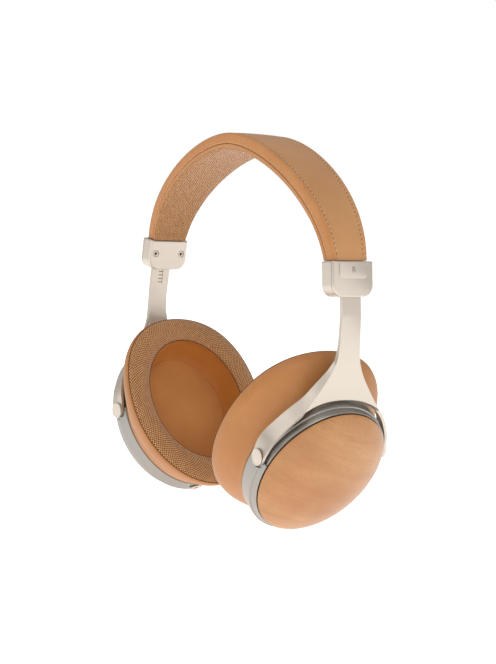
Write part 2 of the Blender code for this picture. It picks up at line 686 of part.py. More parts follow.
def make_baffle(materials):
    """The plate under the ear pad, with the driver's hole and its three screws."""
    plastic = materials["black_plastic"]
    hole = (DRIVER_RADIUS + 0.5, DRIVER_RADIUS + 0.5, DRIVER_CENTRE)
    edge = [shrunk(x, HOUSING, HOUSING_WALL + 0.4) for x in (-6.4, -4.5)]
    profile = [edge[0], edge[1], (-4.5, *hole), (-6.4, *hole)]
    baffle = oval_body("right_baffle", profile, plastic, closed=True)
    holes, screws = [], []
    for number, angle in enumerate(BAFFLE_SCREW_ANGLES, start=1):
        y, z = screw_place(angle)
        place = at(CUP_FRAME, (0, y, z))
        holes.append(turned("hole", [(-8, 0.9 + CLEAR), (-3, 0.9 + CLEAR)], plastic, place, segments=10))
        holes.append(turned("sink", [(-8, 2.0), (-5.4, 2.0)], plastic, place, segments=12))
        screws.append(turned(f"right_baffle_screw_{number}", [(-6.5, 0.6), (-6.5, 1.6), (-5.7, 1.6),
                                                             (-5.7, 0.9), (0.0, 0.9)],
                             materials["spring_steel"], place, segments=12))
    combine(baffle, holes, 'DIFFERENCE')
    return [baffle, *screws]


def make_pad(materials):
    """The ear cushion, the ring it is stretched on and the cloth over the driver."""
    back_x, back_width, back_height, back_middle = PAD_BACK
    front_x, front_width, front_height, front_middle = PAD_FRONT
    opening_width, opening_height, opening_middle = PAD_OPENING
    profile = [(back_x, back_width - 1.7, back_height - 1.7, back_middle),
               (PAD_LIP, back_width - 1.6, back_height - 1.6, back_middle),
               (PAD_LIP, back_width - 0.5, back_height - 0.5, back_middle),
               (back_x - 1.5, back_width + 0.9, back_height + 0.9, back_middle),
               (front_x + 8, front_width - 1.4, front_height - 1.4, front_middle),
               (front_x + 2.6, front_width, front_height, front_middle),
               (front_x + 0.4, front_width - 1.6, front_height - 1.6, front_middle),
               (front_x - 0.9, front_width - 6, front_height - 6, front_middle),
               (front_x - 0.9, opening_width + 5, opening_height + 5, opening_middle),
               (front_x + 0.8, opening_width + 1, opening_height + 1, opening_middle),
               (front_x + 3.5, opening_width, opening_height, opening_middle),
               (back_x - 1.9, opening_width + 0.3, opening_height + 0.3, opening_middle - 0.8),
               (back_x, opening_width - 3.5, opening_height - 3.5, opening_middle - 1.2)]
    pad = oval_body("right_ear_pad", profile, materials["tan_leather"], closed=True)
    ring_hole = (24.0, 27.0, DRIVER_CENTRE)
    ring = oval_body("right_pad_ring", [shrunk(-8.1, HOUSING, 2.2), shrunk(-6.95, HOUSING, 2.0),
                                        (-6.95, *ring_hole), (-8.1, *ring_hole)],
                     materials["black_plastic"], closed=True)
    screen_outline = (opening_width - 0.5, opening_height - 0.5, opening_middle - 0.8)
    screen = oval_body("right_dust_screen", [shrunk(SCREEN_AT, screen_outline, 0),
                                             shrunk(SCREEN_AT + 0.6, screen_outline, 0)],
                       materials["screen_cloth"])
    return [pad, ring, screen]


def make_jack(materials):
    """The jack socket at the bottom of the housing and the lead from it to the driver."""
    brass = materials["brass"]
    floor = HOUSING[1] - HOUSING[2]
    profile = [(floor + 0.35, 1.25), (floor + 0.35, 3.4), (floor + 0.9, 3.2), (floor + 0.9, 1.25)]
    socket = turned("right_jack_socket", [(floor - 8.0, 2.0), (floor + 0.35, 2.0), *profile[1:3],
                                          (floor + 0.9, 1.25), (floor - 7.0, 1.25), (floor - 7.0, 0.4),
                                          (floor - 8.0, 0.4)],
                    brass, jack_frame(), closed=True)
    route = [(-1.2, 2.0, -38.4), (0.5, 5.0, -36.2), (1.8, 7.5, -32.5), (3.2, 6.0, -27.0), (4.6, 3.0, -22.4)]
    points = smooth_path(route, 9)
    rings = []
    for i, point in enumerate(points):
        along = (Vector(points[min(i + 1, 8)]) - Vector(points[max(i - 1, 0)])).normalized()
        side = along.cross(Vector((1, 0, 0))).normalized()
        up = along.cross(side)
        rings.append([Vector(point) + 0.6 * (math.cos(a) * side + math.sin(a) * up)
                      for a in (i * math.pi / 3 for i in range(6))])
    wire = loft("right_lead_wire", rings, materials["black_plastic"], CUP_FRAME)
    felt = turned("right_damping_felt", [(10.0, 14.0), (11.4, 14.0)], materials["foam"],
                  at(CUP_FRAME, (0, 0, DRIVER_CENTRE)), segments=24)
    return [socket, wire, felt]


def build():
    """All pieces, the right side first and then its mirror image."""
    for old in list(bpy.data.objects):
        bpy.data.objects.remove(old)
    materials = make_materials()
    make_headband(materials)
    right = make_block(materials)
    right.append(make_yoke(materials))
    right += make_pins(materials)
    right.append(make_housing(materials))
    right.append(make_wood(materials))
    right += make_driver(materials)
    right += make_baffle(materials)
    right += make_pad(materials)
    right += make_jack(materials)
    mirror_all(right)


build()
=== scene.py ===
"""Over-ear headphones with wood cups: the visible surfaces, materials, lights and camera.

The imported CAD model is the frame. Lengths below are in millimetres unless a name says otherwise,
and the right-hand pieces are made in the same local frames as the CAD: slider block, yoke and cup,
each with X pointing outboard. The left-hand pieces mirror them in the plane X = 0.
"""
import json
import math
import bmesh
import bpy
from mathutils import Matrix, Vector, noise


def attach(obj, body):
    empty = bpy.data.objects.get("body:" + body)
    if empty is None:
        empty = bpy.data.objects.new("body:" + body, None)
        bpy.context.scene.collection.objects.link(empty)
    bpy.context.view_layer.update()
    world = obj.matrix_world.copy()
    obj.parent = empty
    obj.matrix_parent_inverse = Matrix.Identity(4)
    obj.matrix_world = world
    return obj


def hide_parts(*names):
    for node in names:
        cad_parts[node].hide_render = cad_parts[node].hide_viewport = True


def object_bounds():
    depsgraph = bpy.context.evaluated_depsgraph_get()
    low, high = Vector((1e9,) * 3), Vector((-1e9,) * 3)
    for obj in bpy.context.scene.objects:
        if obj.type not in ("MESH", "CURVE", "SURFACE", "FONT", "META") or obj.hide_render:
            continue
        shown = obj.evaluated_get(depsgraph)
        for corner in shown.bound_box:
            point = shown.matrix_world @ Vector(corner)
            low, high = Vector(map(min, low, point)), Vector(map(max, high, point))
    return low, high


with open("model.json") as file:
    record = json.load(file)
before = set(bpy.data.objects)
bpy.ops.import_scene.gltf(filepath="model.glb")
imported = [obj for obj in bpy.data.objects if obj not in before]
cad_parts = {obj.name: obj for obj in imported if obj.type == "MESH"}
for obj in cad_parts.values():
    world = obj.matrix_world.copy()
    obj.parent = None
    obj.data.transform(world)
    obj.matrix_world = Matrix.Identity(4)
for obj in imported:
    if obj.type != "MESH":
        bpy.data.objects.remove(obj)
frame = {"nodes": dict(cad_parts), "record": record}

CAD_LOW, CAD_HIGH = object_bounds()
MM = 0.001
SIDES = ("right", "left")

# Headband: the curve of its outer surface, and its section
BAND_TOP = 206.6
BAND_START_ANGLE = 11.0
BAND_START_PULL = 34.0
BAND_CROWN_PULL = 28.5
BAND_WIDTH_END = 20.6
BAND_WIDTH_CROWN = 32.8
BAND_SEAT = 0.9
BAND_STEPS = 84
CAD_LAST = 24 / 25              # the CAD's last station before the crown
LINING_BOTTOM = 8.3
LINING_EDGE = 7.3
LINING_ACROSS = (0.985, 0.95, 0.89, 0.8, 0.6, 0.3, 0, -0.3, -0.6, -0.8, -0.89, -0.95, -0.985)
LINING_SWELL = 8.9              # depth of the weave's middle; LINING_EDGE is that of its sides
WALL_BOTTOM = 5.45
LEATHER = 1.0
STITCH_INSET = 2.7
STITCH_PITCH = 2.4
STITCH_LENGTH = 1.6
STITCH_RADIUS = 0.22
STITCH_HOLE = (0.4, 0.18)      # length and radius

# Slider block
SLIDE_FOOT = (83.6, 0.0, 132.1)
SLIDE_LEAN = 7.0
BLOCK_HALF_WIDTH = 12.0
BLOCK_HEIGHT = 16.7
BLOCK_CORNER = 5.6
BLOCK_WALL = 1.2
BLOCK_SHELL = (-6.5, 1.0)        # inner shell, from its inner to its outer face
BLOCK_SCREW = (8.2, 9.1)

# Yoke
PIVOT = (67.7, 1.0, 55.6)
TOE = 4.0
ARM_THICK = 2.0
TONGUE_THICK = 0.7
TONGUE_SET = -0.9
TONGUE_FOOT = 9.2
TONGUE_TOP = 11.0
ARM_HALF_WIDTH = 5.6
SLIDE_STRAIGHT = 8.6
LEG_THICK = 1.4
LUG_RADIUS = 4.7
PIN_FACE = 35.6
PIN_RADIUS = 1.8
PIN_CAP = (4.15, 0.7)

# Cup
TILT = 31.0
HOUSING = (35.2, 39.5, -8.6)    # half width, half height and middle of the oval
WOOD = (33.1, 37.2, -7.5)
HOUSING_BACK = -6.6
HOUSING_STEP = 2.2
RING_SEGMENTS = 128
PAD_SEGMENTS = 112
POCKET = (5.3, 33.8, 33.0)      # radius round the pin, and the floor there and above it
WOOD_SEAT = 5.9
WOOD_DOME = 10.0
PAD_BACK = (-8.5, 35.2, 39.5, -8.6)
PAD_LIP = -6.9
PAD_FRONT = (-26.8, 43.6, 48.7, -6.1)
PAD_OPENING = (29.7, 33.7, -5.0)
PAD_MEAN_RADIUS = 38.0
PAD_SWELL = 0.9                 # the most that the cloth simulation may move a point
SEAM_RADIUS = 0.26
PAD_FULLNESS = 0.036            # how much fuller the pad is at its upper corners
WELL_INSET = 4.0                # the padding bulges this far over the edge of the cloth
SCREEN_AT = -11.4


# ---------------------------------------------------------------- frames and small tools

def rotation(degrees, axis):
    """A turn about one axis."""
    return Matrix.Rotation(math.radians(degrees), 4, axis)


MIRROR = Matrix.Scale(-1, 4, (1, 0, 0))
BLOCK_FRAME = Matrix.Translation(SLIDE_FOOT) @ rotation(-SLIDE_LEAN, 'Y')
YOKE_FRAME = Matrix.Translation(PIVOT) @ rotation(-TOE, 'Z')
CUP_FRAME = YOKE_FRAME @ rotation(TILT, 'Y')
JACK_FRAME = CUP_FRAME @ Matrix.Translation((-2.2, 0, 0)) @ rotation(90, 'Y')


def band_at(t):
    """(x, z, normal x, normal z) of the band's outer surface, from the block at 0 to the crown at 1."""
    start = BLOCK_FRAME @ Vector((BAND_SEAT, 0, BLOCK_HEIGHT + 0.3))
    lean, slide = math.radians(BAND_START_ANGLE), math.radians(SLIDE_LEAN)
    knots = [Vector((start.x, start.z)),
             Vector((start.x - BAND_START_PULL * math.sin(lean),
                     start.z + BAND_START_PULL * math.cos(lean))),
             Vector((BAND_CROWN_PULL, BAND_TOP)), Vector((0, BAND_TOP))]
    s = 1 - t
    weights = (s ** 3, 3 * s * s * t, 3 * s * t * t, t ** 3)
    point = sum((w * k for w, k in zip(weights, knots)), Vector((0, 0)))
    along = (s * s * (knots[1] - knots[0]) + 2 * s * t * (knots[2] - knots[1])
             + t * t * (knots[3] - knots[2])).normalized()
    ease = min(1, t / 0.06)
    along = (Vector((-math.sin(slide), math.cos(slide))) * (1 - ease) + along * ease).normalized()
    return point.x, point.y, along.y, -along.x


_, LAST_Z, _, LAST_LIFT = band_at(CAD_LAST)
TO_ORIGIN = Matrix.Translation((0, 0, LAST_LIFT * LINING_BOTTOM - LAST_Z))


def smooth_path(points, samples):
    """Points along a Catmull-Rom curve through a few given ones, in any number of dimensions."""
    ends = [tuple(2 * a - b for a, b in zip(points[0], points[1])),
            tuple(2 * a - b for a, b in zip(points[-1], points[-2]))]
    known = [ends[0], *points, ends[1]]
    path = []
    for i in range(samples):
        place = i / (samples - 1) * (len(points) - 1)
        k = min(int(place), len(points) - 2)
        t = place - k
        p0, p1, p2, p3 = known[k:k + 4]
        path.append(tuple(
            0.5 * (2 * b + (c - a) * t + (2 * a - 5 * b + 4 * c - d) * t * t
                   + (3 * b - a - 3 * c + d) * t ** 3)
            for a, b, c, d in zip(p0, p1, p2, p3)))
    return path


def distances(points, closed=False):
    """How far along a path each of its points lies, and its whole length too where it is closed."""
    reach = [0.0]
    path = points + points[:1] if closed else points
    for a, b in zip(path, path[1:]):
        reach.append(reach[-1] + math.dist(a, b))
    return reach


def linked(name, data):
    """A new object in the scene."""
    piece = bpy.data.objects.new(name, data)
    bpy.context.scene.collection.objects.link(piece)
    return piece


def finish_mesh(name, shape, materials, sharp=40):
    """A linked object from a bmesh, smooth except at its sharp edges."""
    mesh = bpy.data.meshes.new(name)
    shape.to_mesh(mesh)
    shape.free()
    mesh.shade_smooth()
    mesh.set_sharp_from_angle(angle=math.radians(sharp))
    for material in materials:
        mesh.materials.append(material)
    return linked(name, mesh)


def grid(name, rings, materials, place=Matrix(), loop=False, uv=None, which=None, sharp=40):
    """Rings of equal length joined in order.

    Each ring is closed. loop joins the last ring to the first; without it both ends are capped.
    uv(i, j) gives a corner's place on the surface and which(i, j) a face's material."""
    place = TO_ORIGIN @ place
    shape = bmesh.new()
    verts = [[shape.verts.new((place @ Vector(p)) * MM) for p in ring] for ring in rings]
    layer = shape.loops.layers.uv.new("UVMap")
    count = len(rings[0])
    for i in range(len(rings) - (0 if loop else 1)):
        for j in range(count):
            corners = [(i, j), (i, j + 1), (i + 1, j + 1), (i + 1, j)]
            face = shape.faces.new([verts[a % len(rings)][b % count] for a, b in corners])
            if which:
                face.material_index = which(i, j)
            if uv:
                for corner, (a, b) in zip(face.loops, corners):
                    corner[layer].uv = uv(a, b)
    if not loop:
        for i, order in ((0, range(count - 1, -1, -1)), (len(rings) - 1, range(count))):
            face = shape.faces.new([verts[i][j] for j in order])
            if uv:
                for corner, j in zip(face.loops, order):
                    corner[layer].uv = uv(i, j)
    bmesh.ops.recalc_face_normals(shape, faces=shape.faces)
    return finish_mesh(name, shape, materials, sharp)


def add(piece, body, slot, *nodes):
    """The piece rides on a body and stands for some CAD nodes, which it hides; the slot is not used."""
    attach(piece, body)
    if nodes:
        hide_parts(*nodes)
    return piece


def placed(side, local):
    """A right-hand frame, or its mirror image for the left side."""
    return local if side == "right" else MIRROR @ local


def oval(x, half_width, half_height, middle, segments):
    """An oval ring of points across the cup's axis."""
    angles = [2 * math.pi * i / segments for i in range(segments)]
    return [(x, half_width * math.cos(a), middle + half_height * math.sin(a)) for a in angles]


def shrunk(x, outline, inset):
    """The oval of an outline, smaller all round by an inset."""
    half_width, half_height, middle = outline
    return (x, half_width - inset, half_height - inset, middle)


def seen_flat(rings):
    """Surface coordinates that are each point's own place across the cup, in metres."""
    return lambda i, j: (rings[i][j % len(rings[i])][1] * MM, rings[i][j % len(rings[i])][2] * MM)


def turned(name, profile, materials, place, segments=40, loop=False, sharp=40):
    """A turned body about the frame's X axis, from (x, radius) rows."""
    rings = [oval(x, radius, radius, 0, segments) for x, radius in profile]
    return grid(name, rings, materials, place, loop=loop, sharp=sharp,
                uv=lambda i, j: (0.02 * j / segments, profile[i % len(profile)][0] * MM))


def cut(piece, cutters, operation='DIFFERENCE'):
    """Cuts pieces from a piece, or adds them to it, and drops them."""
    for cutter in cutters:
        step = piece.modifiers.new(operation.lower(), 'BOOLEAN')
        step.operation = operation
        step.object = cutter
    evaluated = piece.evaluated_get(bpy.context.evaluated_depsgraph_get())
    result = bpy.data.meshes.new_from_object(evaluated)
    piece.modifiers.clear()
    piece.data = result
    for cutter in cutters:
        bpy.data.objects.remove(cutter)
    return piece


def evened(piece, sharp=30):
    """Keeps flat faces flat in the light after a cut."""
    piece.data.shade_smooth()
    piece.data.set_sharp_from_angle(angle=math.radians(sharp))
    step = piece.modifiers.new("even_light", 'WEIGHTED_NORMAL')
    step.keep_sharp = True
    step.weight = 100
    return piece


def bevelled(piece, width, limit):
    """Softens a piece's edges that are sharper than a limit in degrees."""
    step = piece.modifiers.new("soft_edges", 'BEVEL')
    step.width = width * MM
    step.segments = 2
    step.limit_method = 'ANGLE'
    step.angle_limit = math.radians(limit)
    return piece


# ---------------------------------------------------------------- materials

class Shader:
    """A node material under construction."""

    def __init__(self, name, rough, metallic=0.0, **sockets):
        self.material = bpy.data.materials.new(name)
        self.material.use_nodes = True
        self.tree = self.material.node_tree
        self.main = self.tree.nodes["Principled BSDF"]
        self.main.inputs["Roughness"].default_value = rough
        self.main.inputs["Metallic"].default_value = metallic
        for socket, value in sockets.items():
            self.main.inputs[socket.replace("_", " ")].default_value = value
        self.coords = self.add("ShaderNodeTexCoord")

    def add(self, kind, **settings):
        """One node, with its properties or its inputs set."""
        node = self.tree.nodes.new(kind)
        for key, value in settings.items():
            if hasattr(node, key):
                setattr(node, key, value)
            else:
                node.inputs[key.replace("_", " ")].default_value = value
        return node

    def link(self, out, into):
        """Joins two sockets."""
        self.tree.links.new(out, into)

    def stretched(self, scale, turn=(0, 0, 0), source="Object"):
        """Surface or object coordinates, scaled along each axis, then turned."""
        node = self.add("ShaderNodeMapping", vector_type='TEXTURE')
        node.inputs["Scale"].default_value = tuple(1 / s for s in scale)
        node.inputs["Rotation"].default_value = tuple(math.radians(a) for a in turn)
        self.link(self.coords.outputs[source], node.inputs["Vector"])
        return node.outputs["Vector"]

    def noise(self, vector, scale, detail=3.0, rough=0.55):
        """A noise texture's value."""
        node = self.add("ShaderNodeTexNoise", Scale=scale, Detail=detail, Roughness=rough)
        self.link(vector, node.inputs["Vector"])
        return node.outputs["Fac"]

    def ramp(self, value, *stops):
        """A colour ramp over a value, from (place, colour) stops."""
        node = self.add("ShaderNodeValToRGB")
        while len(node.color_ramp.elements) < len(stops):
            node.color_ramp.elements.new(0.5)
        for element, (place, colour) in zip(node.color_ramp.elements, stops):
            element.position = place
            element.color = (*colour, 1)
        self.link(value, node.inputs["Fac"])
        return node.outputs["Color"]

    def mix(self, share, a, b, kind='MIX'):
        """Two colours mixed by a share."""
        node = self.add("ShaderNodeMix", data_type='RGBA', blend_type=kind)
        for socket, value in zip((node.inputs[0], node.inputs[6], node.inputs[7]), (share, a, b)):
            if isinstance(value, bpy.types.NodeSocket):
                self.link(value, socket)
            else:
                socket.default_value = value if isinstance(value, float) else (*value, 1)
        return node.outputs[2]

    def math(self, operation, a, b=0.0):
        """One sum on two values."""
        node = self.add("ShaderNodeMath", operation=operation)
        for socket, value in zip(node.inputs, (a, b)):
            if isinstance(value, bpy.types.NodeSocket):
                self.link(value, socket)
            else:
                socket.default_value = value
        return node.outputs[0]

    def times(self, a, b):
        """One product."""
        return self.math('MULTIPLY', a, b)

    def colour(self, value):
        """Sets the base colour."""
        self.link(value, self.main.inputs["Base Color"])

    def roughness(self, value, low, high):
        """Lets the roughness follow a value between two limits."""
        node = self.add("ShaderNodeMapRange")
        node.inputs["To Min"].default_value = low
        node.inputs["To Max"].default_value = high
        self.link(value, node.inputs["Value"])
        self.link(node.outputs["Result"], self.main.inputs["Roughness"])

    def bump(self, value, height, strength=1.0):
        """Adds relief of a height in metres on what is there already."""
        node = self.add("ShaderNodeBump", Strength=strength, Distance=height)
        self.link(value, node.inputs["Height"])
        before = self.main.inputs["Normal"].links
        if before:
            self.link(before[0].from_socket, node.inputs["Normal"])
        self.link(node.outputs["Normal"], self.main.inputs["Normal"])


def leather(name, light, dark):
    """Smooth fine-grained leather with soft colour changes."""
    shader = Shader(name, 0.46, Specular_IOR_Level=0.42, Sheen_Weight=0.06)
    space = shader.coords.outputs["Object"]
    cloud = shader.noise(space, 45.0, 4.0, 0.6)
    fine = shader.noise(space, 900.0, 3.0)
    base = shader.ramp(cloud, (0.3, dark), (0.7, light))
    deep = tuple(0.62 * c for c in dark)
    shader.colour(shader.mix(shader.times(fine, 0.22), base, deep))
    cells = shader.add("ShaderNodeTexVoronoi", feature='F1', Scale=1500.0)
    shader.link(space, cells.inputs["Vector"])
    shader.bump(cells.outputs["Distance"], 0.00006, 0.55)
    shader.bump(shader.noise(space, 260.0, 3.0), 0.0002, 0.35)
    shader.roughness(cloud, 0.40, 0.54)
    return shader.material


def weave(name, light, middle, dark, pitch):
    """Coarse two-tone cloth: raised dots of thread on a darker ground, a pitch apart in metres."""
    shader = Shader(name, 0.85, Sheen_Weight=0.25, Sheen_Roughness=0.4)
    uv = shader.add("ShaderNodeSeparateXYZ")
    wobble = shader.add("ShaderNodeTexNoise", Scale=420.0, Detail=2.0)
    shader.link(shader.coords.outputs["UV"], wobble.inputs["Vector"])
    moved = shader.add("ShaderNodeMixRGB", blend_type='LINEAR_LIGHT')
    moved.inputs["Fac"].default_value = pitch * 0.22
    shader.link(shader.coords.outputs["UV"], moved.inputs["Color1"])
    shader.link(wobble.outputs["Color"], moved.inputs["Color2"])
    shader.link(moved.outputs["Color"], uv.inputs["Vector"])
    beat = 2 * math.pi / pitch
    across = shader.math('SINE', shader.times(uv.outputs["X"], beat))
    along = shader.math('SINE', shader.times(uv.outputs["Y"], beat))
    dots = shader.times(across, along)
    dots = shader.math('ADD', shader.times(dots, 0.5), 0.5)
    patch = shader.noise(shader.coords.outputs["UV"], 300.0, 3.0, 0.7)
    thread = shader.noise(shader.coords.outputs["UV"], 1900.0, 2.0, 0.7)
    tone = shader.math('ADD', shader.times(dots, 0.62),
                       shader.times(shader.math('ADD', patch, thread), 0.24))
    shader.colour(shader.ramp(tone, (0.32, dark), (0.5, middle), (0.70, light)))
    shader.bump(dots, 0.00035, 0.8)
    shader.bump(thread, 0.0001, 0.5)
    return shader.material


def satin(name, colour, rough, metallic, brushed=False):
    """Satin metal, with fine blasting or with brush marks along the surface's first direction."""
    shader = Shader(name, rough, metallic)
    source = shader.stretched((1, 30, 1), source="UV") if brushed else shader.coords.outputs["Object"]
    fine = shader.noise(source, 420.0 if brushed else 3500.0, 3.0)
    broad = shader.noise(shader.coords.outputs["Object"], 60.0, 3.0)
    worn = tuple(0.72 * c for c in colour)
    shader.colour(shader.mix(shader.times(broad, 0.12), colour, worn))
    shader.roughness(fine, rough - 0.06, rough + 0.07)
    shader.bump(fine, 0.00003, 0.35)
    return shader.material


def beech(name):
    """Lacquered beech: warm honey, with soft bands and short darker flecks along the grain."""
    shader = Shader(name, 0.34, Coat_Weight=0.2, Coat_Roughness=0.22, Specular_IOR_Level=0.5)
    bands = shader.noise(shader.stretched((14, 110, 1), (0, 0, -18), "UV"), 1.0, 4.0, 0.6)
    cloud = shader.noise(shader.coords.outputs["UV"], 24.0, 2.0)
    fleck = shader.noise(shader.stretched((330, 1900, 1), (0, 0, -18), "UV"), 1.0, 3.0, 0.6)
    pore = shader.noise(shader.stretched((420, 4200, 1), (0, 0, -18), "UV"), 1.0, 2.0)
    base = shader.ramp(bands, (0.28, (0.42, 0.175, 0.050)), (0.55, (0.52, 0.250, 0.085)),
                       (0.8, (0.60, 0.325, 0.130)))
    broad = shader.ramp(cloud, (0.42, (0, 0, 0)), (0.62, (1, 1, 1)))
    base = shader.mix(shader.times(broad, 0.6), base, (0.38, 0.140, 0.033))
    marks = shader.ramp(fleck, (0.36, (1, 1, 1)), (0.47, (0, 0, 0)))
    base = shader.mix(shader.times(marks, 0.42), base, (0.34, 0.135, 0.038))
    base = shader.mix(shader.times(pore, 0.16), base, (0.36, 0.15, 0.05))
    shader.colour(base)
    shader.roughness(fleck, 0.30, 0.42)
    shader.bump(fleck, 0.00004, 0.25)
    return shader.material


def moulded(name, colour, rough, grain=900.0, depth=0.00004):
    """A moulded, felted or turned inner piece, with a fine even texture."""
    shader = Shader(name, rough)
    fine = shader.noise(shader.coords.outputs["Object"], grain)
    dark = tuple(0.6 * c for c in colour)
    shader.colour(shader.mix(shader.times(fine, 0.35), colour, dark))
    shader.bump(fine, depth, 0.5)
    return shader.material


def screen_cloth(name):
    """Thin smooth cloth over the driver, with a faint knit."""
    shader = Shader(name, 0.8, Sheen_Weight=0.2, Sheen_Roughness=0.4)
    space = shader.coords.outputs["UV"]
    cloud = shader.noise(space, 40.0, 3.0)
    knit = shader.noise(space, 1600.0, 2.0, 0.6)
    base = shader.ramp(cloud, (0.3, (0.52, 0.205, 0.045)), (0.7, (0.60, 0.250, 0.062)))
    shader.colour(shader.mix(shader.times(knit, 0.3), base, (0.26, 0.09, 0.025)))
    shader.bump(knit, 0.00012, 0.5)
    return shader.material


TAN = leather("tan_leather_top", (0.580, 0.290, 0.115), (0.520, 0.243, 0.088))
# the walls' leather is a darker, more orange copy of the top's, painting the shade on the band's sides
TAN_WALL_SHADED = leather("tan_leather_wall_painted_shade", (0.555, 0.245, 0.080), (0.500, 0.205, 0.060))
TAN_PAD = leather("tan_leather_pad", (0.520, 0.222, 0.066), (0.450, 0.178, 0.048))
TAN_INNER = leather("tan_leather_inner", (0.560, 0.200, 0.030), (0.480, 0.160, 0.022))
WEAVE = weave("woven_cloth", (0.660, 0.370, 0.165), (0.390, 0.155, 0.044), (0.095, 0.028, 0.007),
              pitch=0.0014)
CHAMPAGNE = satin("champagne_satin", (0.650, 0.578, 0.495), 0.36, 0.7)
RING_METAL = satin("housing_brushed", (0.350, 0.330, 0.300), 0.32, 0.85, brushed=True)
BEECH = beech("lacquered_beech")
STEEL = satin("spring_steel_plain", (0.45, 0.46, 0.48), 0.3, 1.0)
FELT = moulded("dark_felt", (0.045, 0.045, 0.05), 0.95, 1200.0, depth=0.0002)
BLACK = moulded("black_moulding", (0.022, 0.022, 0.024), 0.5)
FILM = moulded("formed_film", (0.5, 0.44, 0.34), 0.3, 500.0)
BRASS = satin("turned_brass", (0.72, 0.52, 0.24), 0.28, 1.0)
SCREEN = screen_cloth("tan_screen_cloth")
THREAD = moulded("pale_thread", (0.72, 0.45, 0.23), 0.7, 2500.0, depth=0.00008)
SEAM_SHADE = moulded("painted_seam_shade", (0.150, 0.055, 0.018), 0.8, 1500.0)
# dark brown pieces that paint the shade in stitch holes and in the pad's seam grooves
INK = moulded("grey_mark", (0.055, 0.042, 0.032), 0.6)
LETTER = moulded("pale_mark", (0.20, 0.18, 0.155), 0.6)
# near-black pieces that paint the shade inside screw sockets and the jack's hole
HOLLOW_SHADE = moulded("painted_hollow_shade", (0.012, 0.012, 0.012), 0.7)

CAD_MATERIALS = {"foam": FELT, "spring_steel": STEEL, "black_plastic": BLACK, "film": FILM,
                 "brass": BRASS, "champagne_metal": CHAMPAGNE, "housing_metal": RING_METAL, "wood": BEECH,
                 "tan_leather": TAN, "woven_cloth": WEAVE, "screen_cloth": SCREEN}


def dress_cad_nodes():
    """Each CAD node that stays in view gets its kind's material."""
    for row in frame["record"]["subparts"]:
        node = frame["nodes"][row["node"]]
        node.data.materials.clear()
        node.data.materials.append(CAD_MATERIALS[row["material_slot"]])


# ---------------------------------------------------------------- headband

def band_half_width(t):
    """Half the band's width, which grows from the block to the crown."""
    return 0.5 * (BAND_WIDTH_END + (BAND_WIDTH_CROWN - BAND_WIDTH_END) * math.sin(t * math.pi / 2))


def band_sections():
    """The band's sections, from the right block to the left one.

    Each is x, z, normal x, normal z, half width, distance from the nearer block, distance along."""
    places = [i / BAND_STEPS for i in range(BAND_STEPS + 1)]
    right = [(*band_at(t), band_half_width(t)) for t in places]
    both = right + [(-x, z, -nx, nz, half) for x, z, nx, nz, half in reversed(right[:-1])]
    reach = distances([row[:2] for row in both])
    return [(*row, min(r, reach[-1] - r), r) for row, r in zip(both, reach)]


def creases(depth, y, from_block, along):
    """Small wrinkles across the leather just above each block."""
    if depth > 1.0:
        return 0.0
    broad = noise.noise(Vector((y * 0.12, along * 0.75, 3.1)))
    fine = noise.noise(Vector((y * 0.3, along * 1.4, 8.0)))
    return 0.30 * (broad + 0.5 * fine) * math.exp(-(from_block / 9.0) ** 2)


def cover_outline(half):
    """The leather's section as (depth, y): up one wall, over the padded top and back underneath."""
    def arc(centre, radius, start, end, steps):
        angles = [math.radians(start + (end - start) * i / steps) for i in range(steps + 1)]
        return [(centre[0] - radius * math.sin(a), centre[1] + radius * math.cos(a)) for a in angles]

    bottom = WALL_BOTTOM - 0.5
    side = arc((bottom, -half + 0.5), 0.5, -90, -180, 4)
    side += [(3.6, -half - 0.08), (2.4, -half - 0.02)]
    side += arc((1.35, -half + 1.35), 1.35, 180, 90, 5)
    seam = half - STITCH_INSET
    top = [(0.05, -seam - 0.55), (0.22, -seam - 0.2), (0.26, -seam), (0.2, -seam + 0.25),
           (-0.02, -seam + 0.8)]
    top += [(-0.05 - 0.3 * (1 - (y / seam) ** 2), y) for y in (-seam * 0.75, -seam * 0.45, -seam * 0.15)]
    inner = [(bottom, -half + LEATHER), (LEATHER + 0.8, -half + LEATHER),
             (LEATHER + 0.2, -half + LEATHER + 0.6)]
    outer = side + top
    return outer + [(d, -y) for d, y in reversed(outer)] + [(d, -y) for d, y in inner] + inner[::-1]


